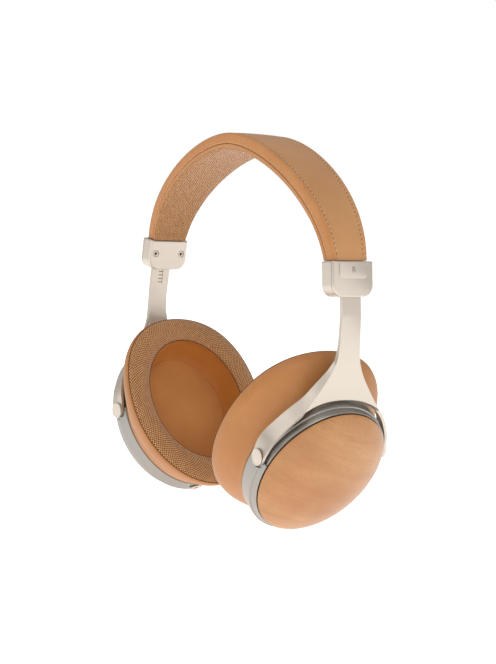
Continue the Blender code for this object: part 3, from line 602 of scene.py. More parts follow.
def make_headband():
    """Leather cover with two rows of stitches, and the padded woven underside."""
    sections = band_sections()
    rings = []
    for x, z, nx, nz, half, from_block, along in sections:
        ring = []
        for depth, y in cover_outline(half):
            deep = depth - creases(depth, y, from_block, along)
            ring.append((x - nx * deep, y, z - nz * deep))
        rings.append(ring)
    count = len(rings[0])
    wall, underneath = 12, 8        # faces up each wall, and about how many hidden ones close the section
    # walls and underside take the darker wall leather, whose colour carries painted shade
    cover = grid("headband_leather", rings, [TAN, TAN_WALL_SHADED],
                 uv=lambda i, j: (sections[i][6] * MM, j * MM),
                 which=lambda i, j: 1 if j < wall or j > count - underneath - wall else 0, sharp=60)
    add(cover, "headband", "tan_leather", "headband_cover")

    rings = []
    for x, z, nx, nz, half, _, _ in sections:
        edge = half - 0.15
        ring = [(5.75, -edge), (5.6, -edge + 0.35), (5.75, -edge + 1.0), (5.9, 0), (5.75, edge - 1.0),
                (5.6, edge - 0.35), (5.75, edge), (LINING_EDGE, edge + 0.1)]
        swell = [(LINING_EDGE + (LINING_SWELL - LINING_EDGE) * (1 - abs(s) ** 12), s * (edge + 0.1))
                 for s in LINING_ACROSS]
        ring += swell + [(LINING_EDGE, -edge - 0.1)]
        rings.append([(x - nx * d, y, z - nz * d) for d, y in ring])
    crown = rings[len(rings) // 2]
    around = distances(crown, closed=True)
    # the lining's narrow sides take the same darker wall leather with painted shade
    narrow_sides = (6, len(crown) - 1)
    lining = grid("headband_weave", rings, [WEAVE, TAN_WALL_SHADED], sharp=60,
                  which=lambda i, j: 1 if j in narrow_sides else 0,
                  uv=lambda i, j: (sections[i][6] * MM, around[j] * MM))
    add(lining, "headband", "woven_cloth", "headband_lining")
    make_stitches(sections)


def capsule(shape, centre, along, across, length, radius):
    """One stitch: a short rounded thread."""
    up = along.cross(across)
    rows = []
    for share, size in ((-0.5, 0.45), (-0.38, 0.95), (0, 1.1), (0.38, 0.95), (0.5, 0.45)):
        middle = centre + along * share * length
        angles = [math.pi / 3 * k for k in range(6)]
        ring = [math.cos(a) * across + 0.8 * math.sin(a) * up for a in angles]
        rows.append([shape.verts.new((middle + radius * size * out) * MM) for out in ring])
    for low, high in zip(rows, rows[1:]):
        for k in range(6):
            shape.faces.new((low[k], low[(k + 1) % 6], high[(k + 1) % 6], high[k]))
    shape.faces.new(rows[0][::-1])
    shape.faces.new(rows[-1])


def make_stitches(sections):
    """A row of thread along each edge of the headband, with dark capsules painting the shade in its holes.
    """
    thread = bmesh.new()
    holes = bmesh.new()
    total = sections[-1][6]
    number = int((total - 4) / STITCH_PITCH)
    for side in (-1, 1):
        k = 0
        for n in range(number + 1):
            reach = 2 + n * (total - 4) / number
            while sections[k + 1][6] < reach:
                k += 1
            a, b = sections[k], sections[k + 1]
            share = (reach - a[6]) / (b[6] - a[6])
            x, z, nx, nz, half = (p + (q - p) * share for p, q in zip(a[:5], b[:5]))
            y = side * (half - STITCH_INSET)
            normal = Vector((nx, 0, nz)).normalized()
            along = Vector((b[0] - a[0], side * (b[4] - a[4]), b[1] - a[1])).normalized()
            across = along.cross(normal).normalized()
            centre = TO_ORIGIN @ (Vector((x, y, z)) - normal * 0.16)
            capsule(thread, centre, along, across, STITCH_LENGTH, STITCH_RADIUS)
            # a dark capsule at each end of a stitch is the painted shade in its hole
            for end in (-1, 1):
                hole = centre + along * end * (STITCH_LENGTH / 2 + 0.1) - normal * 0.05
                capsule(holes, hole, along, across, *STITCH_HOLE)
    for name, shape, material in (("headband_stitches", thread, THREAD),
                                  ("headband_stitch_holes", holes, SEAM_SHADE)):
        bmesh.ops.recalc_face_normals(shape, faces=shape.faces)
        add(finish_mesh(name, shape, [material], 80), "headband", "tan_leather")


# ---------------------------------------------------------------- slider block

def block_outline(inset, half_width=BLOCK_HALF_WIDTH, foot=0.0, head=BLOCK_HEIGHT, corner=BLOCK_CORNER,
                  steps=9, top=0.7):
    """The block seen from outboard, moved in by an inset: round lower corners, eased upper ones."""
    half_width, foot, head = half_width - inset, foot + inset, head - inset
    points = []
    for side_y, side_z, radius in ((1, 1, top), (-1, 1, top), (-1, -1, corner), (1, -1, corner)):
        radius = max(radius - inset, 0.1)
        middle = (side_y * (half_width - radius), head - radius if side_z > 0 else foot + radius)
        start = {(1, 1): 0, (-1, 1): 90, (-1, -1): 180, (1, -1): 270}[(side_y, side_z)]
        for i in range(steps + 1):
            a = math.radians(start + 90 * i / steps)
            points.append((middle[0] + radius * math.cos(a), middle[1] + radius * math.sin(a)))
    return points


def rounded_slab(name, low, high, near, far, material, place, **outline):
    """An outline extruded from low to high, its near and far rims rounded by two radii."""
    towards = 1 if high > low else -1
    levels = []
    for radius, start, turn in ((near, low, 1), (far, high, -1)):
        steps = [math.radians(90 * i / 4) for i in range(5)]
        rim = [(start + towards * turn * radius * (1 - math.sin(a)), radius * (1 - math.cos(a)))
               for a in steps]
        levels += rim[::-1] if turn > 0 else rim
    rings = [[(x, y, z) for y, z in block_outline(inset, **outline)] for x, inset in levels]
    return grid(name, rings, [material], place)


def box_piece(name, low, high, material, place):
    """A plain box, used as a cutter or a thin mark."""
    ring = [(low[1], low[2]), (high[1], low[2]), (high[1], high[2]), (low[1], high[2])]
    rings = [[(x, y, z) for y, z in ring] for x in (low[0], high[0])]
    return grid(name, rings, [material], place, sharp=30)


def letter(name, text, size, place, side):
    """A thin generic channel letter, standing on the block's label plate."""
    curve = bpy.data.curves.new(name, 'FONT')
    curve.body = text
    curve.size = size * MM
    curve.extrude = 0.03 * MM
    curve.align_x = 'CENTER'
    source = linked(name + "_text", curve)
    bpy.context.view_layer.update()
    mesh = bpy.data.meshes.new_from_object(source.evaluated_get(bpy.context.evaluated_depsgraph_get()))
    bpy.data.objects.remove(source)
    point = (TO_ORIGIN @ placed(side, BLOCK_FRAME) @ Vector(place)) * MM
    turn = placed(side, BLOCK_FRAME).to_3x3()
    outward, upward = turn @ Vector((1, 0, 0)), turn @ Vector((0, 0, 1))
    across = upward.cross(outward)
    axes = Matrix((across, upward, outward)).transposed().to_4x4()
    mesh.transform(Matrix.Translation(point) @ axes)
    mesh.materials.clear()
    mesh.materials.append(LETTER)
    return linked(name, mesh)


# (x, radius) rows of a screw's head and of the near-black hexagon that paints the shade in its socket
SCREW_HEAD = [(0.45, 0.4), (0.45, 0.72), (0.2, 0.72), (0.02, 0.95), (0.02, 1.45), (0.2, 1.7), (0.6, 1.7)]
SCREW_SOCKET = [(0.1, 0.72), (0.4, 0.7)]


def make_block(side):
    """Deep inner shell, outer shell with its raised label plate, and two recessed screws."""
    place = placed(side, BLOCK_FRAME)
    across, up = BLOCK_SCREW
    lid = rounded_slab(f"{side}_block_lid", 1.25, 2.6, 0.12, 0.75, CHAMPAGNE, place)
    add(lid, "headband", "champagne_metal", f"{side}_block_outer")
    plate = rounded_slab(f"{side}_label_plate", 2.2, 3.05, 0.05, 0.3, CHAMPAGNE, place,
                         half_width=8.4, foot=8.6, head=BLOCK_HEIGHT - 0.4, corner=2.6, top=0.6)
    add(plate, "headband", "champagne_metal")
    mark = letter(f"{side}_channel_letter", side[0].upper(), 4.0, (3.05, 0, 11.3), side)
    add(mark, "headband", "champagne_metal")

    low, high = BLOCK_SHELL
    shell = rounded_slab(f"{side}_block_shell", high, low, 0.12, 1.1, CHAMPAGNE, place)
    hollow = rounded_slab("hollow", low + BLOCK_WALL, 2, 0.05, 0.05, CHAMPAGNE, place,
                          half_width=BLOCK_HALF_WIDTH - BLOCK_WALL, foot=BLOCK_WALL, head=BLOCK_HEIGHT + 2,
                          corner=BLOCK_CORNER - BLOCK_WALL)
    slot = box_piece("slot", (-ARM_THICK / 2 - 0.35, -ARM_HALF_WIDTH - 0.35, -2),
                     (2, ARM_HALF_WIDTH + 0.35, 3), CHAMPAGNE, place)
    sinks = [turned("sink", [(low - 1.5, 1.95), (low + 0.5, 1.95)], [CHAMPAGNE],
                    place @ Matrix.Translation((0, s * across, up))) for s in (-1, 1)]
    evened(cut(shell, [hollow, slot, *sinks]))
    add(shell, "headband", "champagne_metal", f"{side}_block_inner")
    for number, s in enumerate((-1, 1), start=1):
        spot = place @ Matrix.Translation((low, s * across, up))
        head = turned(f"{side}_screw_head_{number}", SCREW_HEAD, [CHAMPAGNE], spot)
        # the socket is a near-black hexagon, a painted shade inside the head
        socket = turned(f"{side}_screw_socket_{number}", SCREW_SOCKET, [HOLLOW_SHADE], spot, segments=6)
        add(head, "headband", "spring_steel", f"{side}_block_screw_{number}")
        add(socket, "headband", "spring_steel")


def make_scale_marks(side):
    """Ticks on a line, on the arm's inner face; the block hides those that are pushed in."""
    place = placed(side, BLOCK_FRAME)
    low, high = -ARM_THICK / 2 - 0.03, -ARM_THICK / 2 + 0.02
    boxes = [((low, 1.0, -11.0), (high, 1.25, 8.4))]
    for i in range(-4, 6):
        z = -2.0 * i
        boxes.append(((low, -1.4, z - 0.2), (high, 1.2, z + 0.2)))
    for n, corners in enumerate(boxes):
        mark = box_piece(f"{side}_scale_mark_{n}", *corners, INK, place)
        add(mark, f"{side}_yoke", "champagne_metal")


# ---------------------------------------------------------------- yoke

ACROSS = [-1, -0.83, -0.66, -0.5, -0.33, -0.16, 0, 0.16, 0.33, 0.5, 0.66, 0.83, 1]
ARM_ROWS = [(18.4, 61.0, 3.0, 5.6), (18.6, 54.0, 0.0, 5.7)]
WEB_ROWS = [(47.0, 6.3, 18.2, 2.2, 0.0, 0.3), (40.0, 9.3, 17.4, 2.7, 0.5, 1.6),
            (33.3, 13.6, 16.7, 4.0, 0.8, 2.4), (27.8, 17.4, 16.3, 5.2, -0.3, 3.8),
            (23.0, 21.0, 16.0, 6.0, -1.1, 5.4)]
ARCH_RISE = 5.2
LEG_ROWS = [((16.0, 21.0, 23.0), (10.0, 19.9, 28.4)), ((14.2, 25.5, 18.6), (7.6, 25.6, 23.3)),
            ((11.5, 29.5, 13.4), (4.0, 30.4, 17.3)), ((8.3, 33.1, 7.5), (-0.6, 34.3, 10.5)),
            ((4.7, 35.5, 0.0), (-4.7, 35.7, 1.4))]


def arm_ring(centre_x, z, lean, half_width, thick, offset=0.0):
    """A section of the flat arm: its outer face, then round the front edge and back behind."""
    turn = math.radians(lean)
    outward = Vector((math.cos(turn), 0, math.sin(turn)))
    middle = Vector((centre_x, 0, z)) + outward * offset
    outer = [middle + outward * thick / 2 + Vector((0, y * half_width, 0)) for y in ACROSS]
    behind = [0.97, 0.94, 0.91, 0.88]
    inner = [middle - outward * thick / 2 + Vector((0, y * half_width, 0))
             for y in [*behind, *reversed(ACROSS[1:-1]), *[-y for y in reversed(behind)]]]
    return [*outer, outer[-1].lerp(inner[0], 0.5), *inner, outer[0].lerp(inner[-1], 0.5)]


def web_ring(height, half_width, x, inboard, outside, above, rise):
    """A section of the flared web, with a flange along its front and its rear edge."""
    outer = [Vector((x, y * half_width, height + rise * (1 - abs(y) ** 2.4))) for y in ACROSS]
    inner = [Vector((p.x - ARM_THICK, y * (half_width - 1.7), p.z)) for y, p in zip(ACROSS, outer)]
    flanges = []
    for side in (1, -1):
        corner, inside = (outer[-1], inner[-1]) if side > 0 else (outer[0], inner[0])
        edge = Vector((x - inboard, side * (half_width + outside), height + above))
        under = edge - Vector((0, side * LEG_THICK, 0.3))
        flanges.append([corner.lerp(edge, 0.5), edge, under, inside.lerp(under, 0.5), inside])
    return [*outer, *flanges[0], *reversed(inner[1:-1]), *reversed(flanges[1])]


def arm_and_web_rings():
    """Sections from the top of the arm down to the arch."""
    to_yoke = YOKE_FRAME.inverted() @ BLOCK_FRAME
    rings = []
    for z in (TONGUE_TOP, TONGUE_TOP - 0.3, TONGUE_FOOT + 0.7, TONGUE_FOOT + 0.4, TONGUE_FOOT,
              TONGUE_FOOT - 0.4, -SLIDE_STRAIGHT + 0.5, -SLIDE_STRAIGHT):
        thick, offset = (TONGUE_THICK, TONGUE_SET) if z > TONGUE_FOOT else (ARM_THICK, 0)
        ring = arm_ring(0, z, 0, ARM_HALF_WIDTH, thick, offset)
        rings.append([to_yoke @ point for point in ring])
    for x, z, lean, half_width in ARM_ROWS:
        rings.append(arm_ring(x - ARM_THICK / 2, z, lean, half_width, ARM_THICK))
    for row in smooth_path(WEB_ROWS, 13):
        share = (WEB_ROWS[0][0] - row[0]) / (WEB_ROWS[0][0] - WEB_ROWS[-1][0])
        rings.append(web_ring(*row, rise=ARCH_RISE * share ** 1.5))
    return rings


def leg_rings():
    """Sections down the front leg, from the web's shoulder to the rounded lug on the pin."""
    sections = [(Vector(row[:3]), Vector(row[3:]))
                for row in smooth_path([outer + inner for outer, inner in LEG_ROWS], 14)]
    outer, inner = sections[-1]
    middle = (outer + inner) / 2
    across = (inner - outer).normalized()
    down = Vector((-across.z, 0, across.x)).normalized()
    for angle in (18, 34, 50, 64, 76):
        half = across * LUG_RADIUS * math.cos(math.radians(angle))
        end = middle + down * LUG_RADIUS * math.sin(math.radians(angle))
        sections.append((end - half, end + half))
    rings = []
    for i, (outer, inner) in enumerate(sections):
        before = sections[max(i - 1, 0)]
        after = sections[min(i + 1, len(sections) - 1)]
        along = (after[0] + after[1] - before[0] - before[1]).normalized()
        normal = along.cross(inner - outer).normalized() * LEG_THICK
        if normal.y > 0:
            normal = -normal
        face = [outer, outer.lerp(inner, 0.5), inner]
        rings.append(face + [point + normal for point in reversed(face)])
    return rings[1:]


def make_yoke(side):
    """Arm, web and legs as one smooth mesh with crisp, slightly eased edges."""
    place = TO_ORIGIN @ placed(side, YOKE_FRAME)
    shape = bmesh.new()

    def new_ring(points):
        return [shape.verts.new((place @ Vector(p)) * MM) for p in points]

    rings = [new_ring(ring) for ring in arm_and_web_rings()]
    count = len(rings[0])
    shape.faces.new(rings[0][::-1])
    for low, high in zip(rings, rings[1:]):
        for j in range(count):
            shape.faces.new((low[j], low[(j + 1) % count], high[(j + 1) % count], high[j]))
    last, columns = rings[-1], len(ACROSS)
    front = [last[columns - 1 + j] for j in range(6)]
    rear = [last[0]] + [last[count - 1 - j] for j in range(5)]
    inner = [front[5]] + [last[columns + 5 + j] for j in range(columns - 2)] + [rear[5]]
    outer = [last[columns - 1 - j] for j in range(columns)]
    for j in range(columns - 1):
        shape.faces.new((outer[j], outer[j + 1], inner[j + 1], inner[j]))
    for turn, before in ((1, front), (-1, rear)):
        for ring in leg_rings():
            here = new_ring([(p.x, p.y * turn, p.z) for p in ring])
            for j in range(6):
                shape.faces.new((before[j], before[(j + 1) % 6], here[(j + 1) % 6], here[j]))
            before = here
        shape.faces.new(before)
    bmesh.ops.recalc_face_normals(shape, faces=shape.faces)
    crease = shape.edges.layers.float.new("crease_edge")
    for edge in shape.edges:
        if len(edge.link_faces) == 2 and edge.calc_face_angle() > math.radians(38):
            edge[crease] = 1.0
    yoke = finish_mesh(f"{side}_yoke_frame", shape, [CHAMPAGNE], 50)
    smooth = yoke.modifiers.new("smooth", 'SUBSURF')
    smooth.levels = smooth.render_levels = 2
    bevelled(yoke, 0.28, 42)
    return add(yoke, f"{side}_yoke", "champagne_metal", f"{side}_yoke")


def make_pins(side):
    """A domed cap with a fine rim on each pivot pin, and the boss behind it."""
    radius, height = PIN_CAP
    face = PIN_FACE + 0.1
    top = face + height
    profile = [(29.7, PIN_RADIUS), (face, PIN_RADIUS), (face, radius - 0.1), (face + 0.12, radius),
               (top - 0.25, radius), (top - 0.06, radius - 0.1), (top, radius - 0.3), (top, radius - 0.55),
               (top - 0.12, radius - 0.7), (top - 0.1, 2.0), (top - 0.06, 0.8)]
    for name, turn in (("front", 1), ("rear", -1)):
        place = placed(side, YOKE_FRAME @ rotation(90 * turn, 'Z'))
        cap = turned(f"{side}_pin_cap_{name}", profile, [CHAMPAGNE], place, segments=56, sharp=35)
        add(cap, f"{side}_yoke", "champagne_metal", f"{side}_pivot_pin_{name}")


# ---------------------------------------------------------------- cup

def make_housing(side):
    """The metal ring: a broad brushed band, a bright step and the lip round the wood."""
    rim = (WOOD[0] + 0.75, WOOD[1] + 0.75, WOOD[2])
    back, step = HOUSING_BACK, HOUSING_STEP
    seat = WOOD_SEAT
    band = [(back, 0.55), (back + 0.12, 0.2), (back + 0.5, 0), (back + 0.9, 0), (step - 0.75, 0),
            (step - 0.4, 0.03), (step - 0.12, 0.14), (step, 0.4), (step + 0.1, 0.7)]
    lip = [(seat - 0.6, -0.05), (seat - 0.25, 0), (seat - 0.04, 0.12), (seat, 0.3), (seat - 0.05, 0.5),
           (seat - 0.35, 1.6)]
    inside = [(step + 0.6, 2.6), (0.8, 1.7), (back, 1.7)]
    profile = [shrunk(x, outline, inset)
               for outline, rows in ((HOUSING, band), (rim, lip), (HOUSING, inside))
               for x, inset in rows]
    reach = distances([row[:2] for row in profile], closed=True)
    around = 2 * math.pi * HOUSING[0]
    housing = grid(f"{side}_cup_ring", [oval(*row, RING_SEGMENTS) for row in profile], [RING_METAL],
                   placed(side, CUP_FRAME), loop=True, sharp=28,
                   uv=lambda i, j: (around * j / RING_SEGMENTS * MM, reach[i] * MM))
    lugs, holes = [], []
    for turn in (1, -1):
        place = placed(side, YOKE_FRAME @ rotation(90 * turn, 'Z'))
        lugs.append(turned("lug", [(29.2, 4.15), (32.4, 4.15), (32.5, 4.0)], [RING_METAL], place))
        holes.append(turned("hole", [(28, 3.35), (40, 3.35)], [RING_METAL], place))
        holes.append(turned("pocket", [(POCKET[1], POCKET[0]), (40, POCKET[0])], [RING_METAL], place))
        across = sorted((turn * POCKET[2], turn * 40))
        holes.append(box_piece("pocket", (-9, across[0], -0.8), (9, across[1], 12), RING_METAL,
                               placed(side, CUP_FRAME)))
    cut(housing, lugs, 'UNION')
    holes.append(turned("jack_hole", [(42, 2.4), (50, 2.4)], [RING_METAL], placed(side, JACK_FRAME)))
    evened(cut(housing, holes), 28)
    add(housing, f"{side}_cup", "housing_metal", f"{side}_housing")


def wood_height(y, z):
    """Height of the wood's face over its seat: a broad dome with an easy shoulder."""
    radius = min(1.0, math.hypot(y / (WOOD[0] + 0.2), (z - WOOD[2]) / (WOOD[1] + 0.2)))
    return WOOD_DOME * (1 - radius ** 2.3) ** 0.8


def make_wood(side):
    """The domed shell of lacquered beech."""
    segments, steps = 144, 30
    rings = []
    seat = WOOD_SEAT + 0.4
    for inset, x in ((1.4, seat - 0.2), (0.4, seat - 0.25), (0.08, seat - 0.05)):
        rings.append(oval(x, WOOD[0] - inset, WOOD[1] - inset, WOOD[2], segments))
    for i in range(steps):
        share = math.cos(i / steps * math.pi / 2) ** 0.8 if i else 1.0
        ring = []
        for _, y, z in oval(0, WOOD[0] * share, WOOD[1] * share, WOOD[2], segments):
            ring.append((seat + wood_height(y, z), y, z))
        rings.append(ring)
    wood = grid(f"{side}_wood_shell", rings, [BEECH], placed(side, CUP_FRAME), sharp=50,
                uv=seen_flat(rings))
    return add(wood, f"{side}_cup", "wood", f"{side}_wood_cup")


def pad_rows():
    """Rows (x, half width, half height, middle, kind, held) round the ear pad's section.

    Kinds: 0 outer leather, 1 weave, 2 inner leather. A held row stays put while the pad is blown up."""
    back_x, *back = PAD_BACK
    front_x, *front = PAD_FRONT
    opening = PAD_OPENING
    behind = (opening[0], opening[1], opening[2] - 1.6)
    rows = []

    def run(points, samples, kind):
        path = smooth_path(points, samples)
        for n, row in enumerate(path[:-1]):
            rows.append((*row, kind, n == 0))

    rim = shrunk(front_x + 2.9, front, 0.05)
    seam = shrunk(front_x + 1.2, front, 0.75)
    inner_rim = shrunk(front_x + 1.3, opening, -0.5)
    well = shrunk(back_x - 2.2, behind, WELL_INSET)
    floor = shrunk(back_x, behind, 4.6)
    ledge = shrunk(back_x, back, 1.7)
    inner_lip = shrunk(PAD_LIP, back, 1.6)
    lip = shrunk(PAD_LIP, back, 0.5)
    run([lip, shrunk(PAD_LIP - 0.4, back, 0.1), shrunk(back_x - 1.5, back, -0.9),
         shrunk(front_x + 8, front, 1.4), rim], 16, 0)
    run([rim, shrunk(front_x + 2.0, front, 0.15), seam], 4, 0)
    run([seam, shrunk(front_x + 0.35, front, 1.6), shrunk(front_x - 0.45, front, 3.4),
         shrunk(front_x - 0.95, front, 6.0), (front_x - 1.0, front[0] - 9.0, opening[1] + 5.8, -5.7),
         shrunk(front_x - 0.3, opening, -2.2), inner_rim], 15, 1)
    run([inner_rim, shrunk(front_x + 5.0, opening, 0.1),
         shrunk(back_x - 6.0, (opening[0], opening[1], opening[2] - 0.9), 2.0), well], 11, 2)
    run([well, floor], 3, 2)
    run([floor, ledge], 4, 2)
    run([ledge, inner_lip], 3, 2)
    run([inner_lip, lip], 2, 0)
    return rows


def blow_up(piece, held, cap):
    """Fills a closed skin by cloth simulation, with some points held and the others' travel capped."""
    rest = [v.co.copy() for v in piece.data.vertices]
    group = piece.vertex_groups.new(name="held")
    group.add(held, 1.0, 'REPLACE')
    cloth = piece.modifiers.new("cloth", 'CLOTH')
    settings = cloth.settings
    settings.quality = 6
    settings.mass = 0.2
    settings.use_pressure = True
    settings.uniform_pressure_force = 3.5
    settings.tension_stiffness = settings.compression_stiffness = 18
    settings.bending_stiffness = 0.4
    settings.vertex_group_mass = "held"
    settings.effector_weights.gravity = 0
    cloth.collision_settings.use_collision = False
    scene = bpy.context.scene
    for number in range(1, 21):
        scene.frame_set(number)
    evaluated = piece.evaluated_get(bpy.context.evaluated_depsgraph_get())
    moved = [v.co.copy() for v in evaluated.data.vertices]
    piece.modifiers.clear()
    scene.frame_set(1)
    for vertex, before, after in zip(piece.data.vertices, rest, moved):
        step = after - before
        if step.length > cap * MM:
            step *= cap * MM / step.length
        vertex.co = before + step
    piece.vertex_groups.clear()


def full_oval(row):
    """A ring of the pad, a little fuller than an oval at its two upper corners near the front."""
    x, half_width, half_height, middle = row[:4]
    share = min(1, max(0, (-12 - x) / 10)) * min(1, max(0, (half_width - PAD_OPENING[0] - 2) / 9))
    ring = []
    for k, (_, y, z) in enumerate(oval(0, half_width, half_height, 0, PAD_SEGMENTS)):
        corner = abs(math.sin(4 * math.pi * k / PAD_SEGMENTS)) if z > 0 else 0.0
        grow = 1 + PAD_FULLNESS * share * corner ** 2
        ring.append((x, y * grow, middle + z * grow))
    return ring


def make_pad(side):
    """The ear cushion: outer leather, rolled rim, woven front and leather inner wall."""
    rows = pad_rows()
    rings = [full_oval(row) for row in rows]
    reach = distances([row[:2] for row in rows], closed=True)
    around = 2 * math.pi * PAD_MEAN_RADIUS
    pad = grid(f"{side}_cushion", rings, [TAN_PAD, WEAVE, TAN_INNER], placed(side, CUP_FRAME), loop=True,
               uv=lambda i, j: (around * j / PAD_SEGMENTS * MM, reach[i] * MM),
               which=lambda i, j: rows[i][4], sharp=70)
    held = [i * PAD_SEGMENTS + j for i, row in enumerate(rows) for j in range(PAD_SEGMENTS)
            if row[5] or row[0] > PAD_BACK[0] - 1.0]
    blow_up(pad, held, PAD_SWELL)
    pad.data.shade_smooth()
    smooth = pad.modifiers.new("smooth", 'SUBSURF')
    smooth.levels = smooth.render_levels = 1
    add(pad, f"{side}_cup", "tan_leather", f"{side}_ear_pad")
    for name, kind in (("outer", 1), ("inner", 2)):
        row = next(row for row in rows if row[4] == kind)
        seam_thread(f"{side}_pad_seam_{name}", row[:4], SEAM_RADIUS, side)


def seam_thread(name, row, radius, side):
    """A dark tube that paints the shade in a seam's groove, along one oval line of the pad."""
    rings = []
    for j, centre in enumerate(full_oval(row)):
        a = 2 * math.pi * j / PAD_SEGMENTS
        centre = Vector(centre)
        outward = Vector((0, math.cos(a), math.sin(a)))
        rings.append([centre + radius * (math.cos(b) * outward + math.sin(b) * Vector((1, 0, 0)))
                      for b in (math.pi / 3 * k for k in range(6))])
    piece = grid(name, rings, [SEAM_SHADE], placed(side, CUP_FRAME), loop=True, sharp=80)
    add(piece, f"{side}_cup", "tan_leather")


def make_screen(side):
    """The smooth cloth stretched over the driver, swelling a little towards the ear."""
    segments, steps = 96, 12
    width, height = PAD_OPENING[0] - WELL_INSET + 0.3, PAD_OPENING[1] - WELL_INSET + 0.3
    middle = PAD_OPENING[2] - 1.6
    rings = []
    for thick, order in ((0.0, range(1, steps + 1)), (0.45, range(steps, 0, -1))):
        for i in order:
            share = i / steps
            swell = 0.9 * (1 - share * share) ** 1.5
            x = SCREEN_AT + 0.1 + thick - swell
            rings.append(oval(x, width * share, height * share, middle, segments))
    screen = grid(f"{side}_screen_cloth", rings, [SCREEN], placed(side, CUP_FRAME), sharp=50,
                  uv=seen_flat(rings))
    add(screen, f"{side}_cup", "screen_cloth", f"{side}_dust_screen")


# (height over the housing, radius) rows of the jack's ring and of the near-black lining that paints the
# shade in its hole
JACK_RING = [(-8, 2.0), (0.2, 2.0), (0.2, 3.2), (0.35, 3.4), (0.62, 3.4), (0.85, 3.2), (0.9, 2.9),
             (0.88, 1.6), (0.8, 1.4), (0.6, 1.25), (-7, 1.25), (-7, 0.4), (-8, 0.4)]
JACK_BORE = [(-6.9, 1.0), (-6.9, 1.22), (0.5, 1.22), (0.5, 1.1), (-6.8, 1.1), (-6.8, 1.0)]


def make_jack(side):
    """The jack's pale ring and its hole, darkened by a lining of painted shade, at the lowest point of the
    housing.
    """
    floor = HOUSING[1] - HOUSING[2]
    place = placed(side, JACK_FRAME)
    profile = [(floor + x, radius) for x, radius in JACK_RING]
    ring = turned(f"{side}_jack_ring", profile, [CHAMPAGNE], place, segments=56, loop=True, sharp=35)
    add(ring, f"{side}_cup", "brass", f"{side}_jack_socket")
    bore = [(floor + x, radius) for x, radius in JACK_BORE]
    # the bore's near-black lining is a painted shade of the deep hole
    lining = turned(f"{side}_jack_bore", bore, [HOLLOW_SHADE], place, loop=True)
    add(lining, f"{side}_cup", "brass")


# ---------------------------------------------------------------- floor, light and camera

SENSOR = 36.0
LENS = 74.16325                 # for the sensor's width on the picture's longer side
AZIMUTH, ELEVATION, ROLL = 54.36, 6.2, 3.2
DISTANCE = 0.7012
FLOOR_GAP = 0.012
LIT_POINT = (0, 0, -0.09)
TARGET = Vector((0.0040, 0.0, -0.0920))


def make_camera():
    """The camera: near eye level, to the right of and behind the wearer, tipped a few degrees."""
    a, e, r = (math.radians(d) for d in (AZIMUTH, ELEVATION, ROLL))
    back = Vector((math.sin(a) * math.cos(e), -math.cos(a) * math.cos(e), math.sin(e)))
    across = Vector((0, 0, 1)).cross(back).normalized()
    up = back.cross(across)
    across, up = across * math.cos(r) + up * math.sin(r), up * math.cos(r) - across * math.sin(r)
    data = bpy.data.cameras.new("camera")
    data.sensor_fit = 'AUTO'
    data.sensor_width = SENSOR
    data.lens = LENS
    data.clip_start, data.clip_end = 0.05, 20
    camera = linked("camera", data)
    camera.matrix_world = (Matrix.Translation(TARGET + back * DISTANCE)
                           @ Matrix((across, up, back)).transposed().to_4x4())
    bpy.context.scene.camera = camera


def make_light(name, spot, aim, size, power):
    """One soft rectangular light."""
    data = bpy.data.lights.new(name, 'AREA')
    data.shape = 'RECTANGLE'
    data.size, data.size_y = size
    data.energy = power
    lamp = linked(name, data)
    lamp.location = spot
    lamp.rotation_mode = 'QUATERNION'
    lamp.rotation_quaternion = (Vector(aim) - Vector(spot)).to_track_quat('-Z', 'Y')


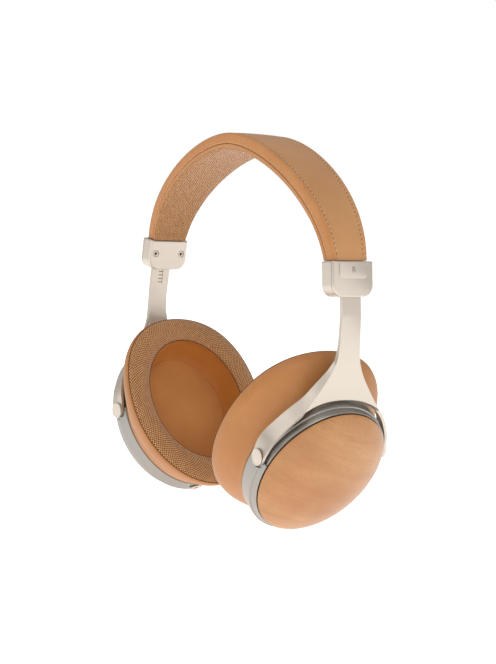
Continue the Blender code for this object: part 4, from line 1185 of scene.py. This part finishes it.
def make_surroundings():
    """A white studio: pale floor, bright surroundings and soft lights."""
    scene = bpy.context.scene
    scene.view_settings.view_transform = 'Standard'
    world = bpy.data.worlds.new("studio")
    scene.world = world
    world.use_nodes = True
    tree = world.node_tree
    back = tree.nodes["Background"]
    back.inputs["Strength"].default_value = 0.48
    seen = tree.nodes.new("ShaderNodeBackground")
    seen.inputs["Color"].default_value = (1, 1, 1, 1)
    seen.inputs["Strength"].default_value = 1.0
    rays = tree.nodes.new("ShaderNodeLightPath")
    choice = tree.nodes.new("ShaderNodeMixShader")
    coords = tree.nodes.new("ShaderNodeTexCoord")
    axes = tree.nodes.new("ShaderNodeSeparateXYZ")
    ramp = tree.nodes.new("ShaderNodeValToRGB")
    ramp.color_ramp.elements[0].position = 0.25
    ramp.color_ramp.elements[0].color = (0.42, 0.42, 0.42, 1)
    ramp.color_ramp.elements[1].position = 0.8
    ramp.color_ramp.elements[1].color = (1, 1, 1, 1)
    half = tree.nodes.new("ShaderNodeMapRange")
    half.inputs["From Min"].default_value = -1
    surface = tree.nodes["World Output"].inputs["Surface"]
    for out, into in ((coords.outputs["Generated"], axes.inputs[0]),
                      (axes.outputs["Z"], half.inputs["Value"]),
                      (half.outputs["Result"], ramp.inputs["Fac"]),
                      (ramp.outputs["Color"], back.inputs["Color"]),
                      (rays.outputs["Is Camera Ray"], choice.inputs["Fac"]),
                      (back.outputs["Background"], choice.inputs[1]),
                      (seen.outputs["Background"], choice.inputs[2]),
                      (choice.outputs["Shader"], surface)):
        tree.links.new(out, into)

    floor_height = CAD_LOW.z - FLOOR_GAP
    shape = bmesh.new()
    bmesh.ops.create_grid(shape, x_segments=8, y_segments=8, size=6.0)
    bmesh.ops.translate(shape, verts=shape.verts, vec=(0, 0, floor_height))
    paper = Shader("pale_floor", 0.9)
    grain = paper.noise(paper.coords.outputs["Object"], 40.0)
    paper.colour(paper.ramp(grain, (0.0, (0.93, 0.93, 0.93)), (1.0, (0.96, 0.96, 0.96))))
    paper.main.inputs["Emission Color"].default_value = (1, 1, 1, 1)
    paper.main.inputs["Emission Strength"].default_value = 0.8
    finish_mesh("floor", shape, [paper.material])

    make_light("key_light", (1.05, -0.45, 0.75), LIT_POINT, (0.7, 0.7), 3.4)
    make_light("side_light", (1.3, 0.6, 0.2), LIT_POINT, (0.5, 1.2), 1.8)
    make_light("fill_light", (-0.55, -1.0, 0.72), LIT_POINT, (0.7, 0.7), 2.0)
    make_light("top_light", (0.2, -0.45, 1.3), LIT_POINT, (0.9, 0.9), 2.8)


def build():
    """Every piece, then the studio."""
    dress_cad_nodes()
    make_headband()
    for side in SIDES:
        make_block(side)
        make_scale_marks(side)
        make_yoke(side)
        make_pins(side)
        make_housing(side)
        make_wood(side)
        make_pad(side)
        make_screen(side)
        make_jack(side)
    make_camera()
    make_surroundings()


build()
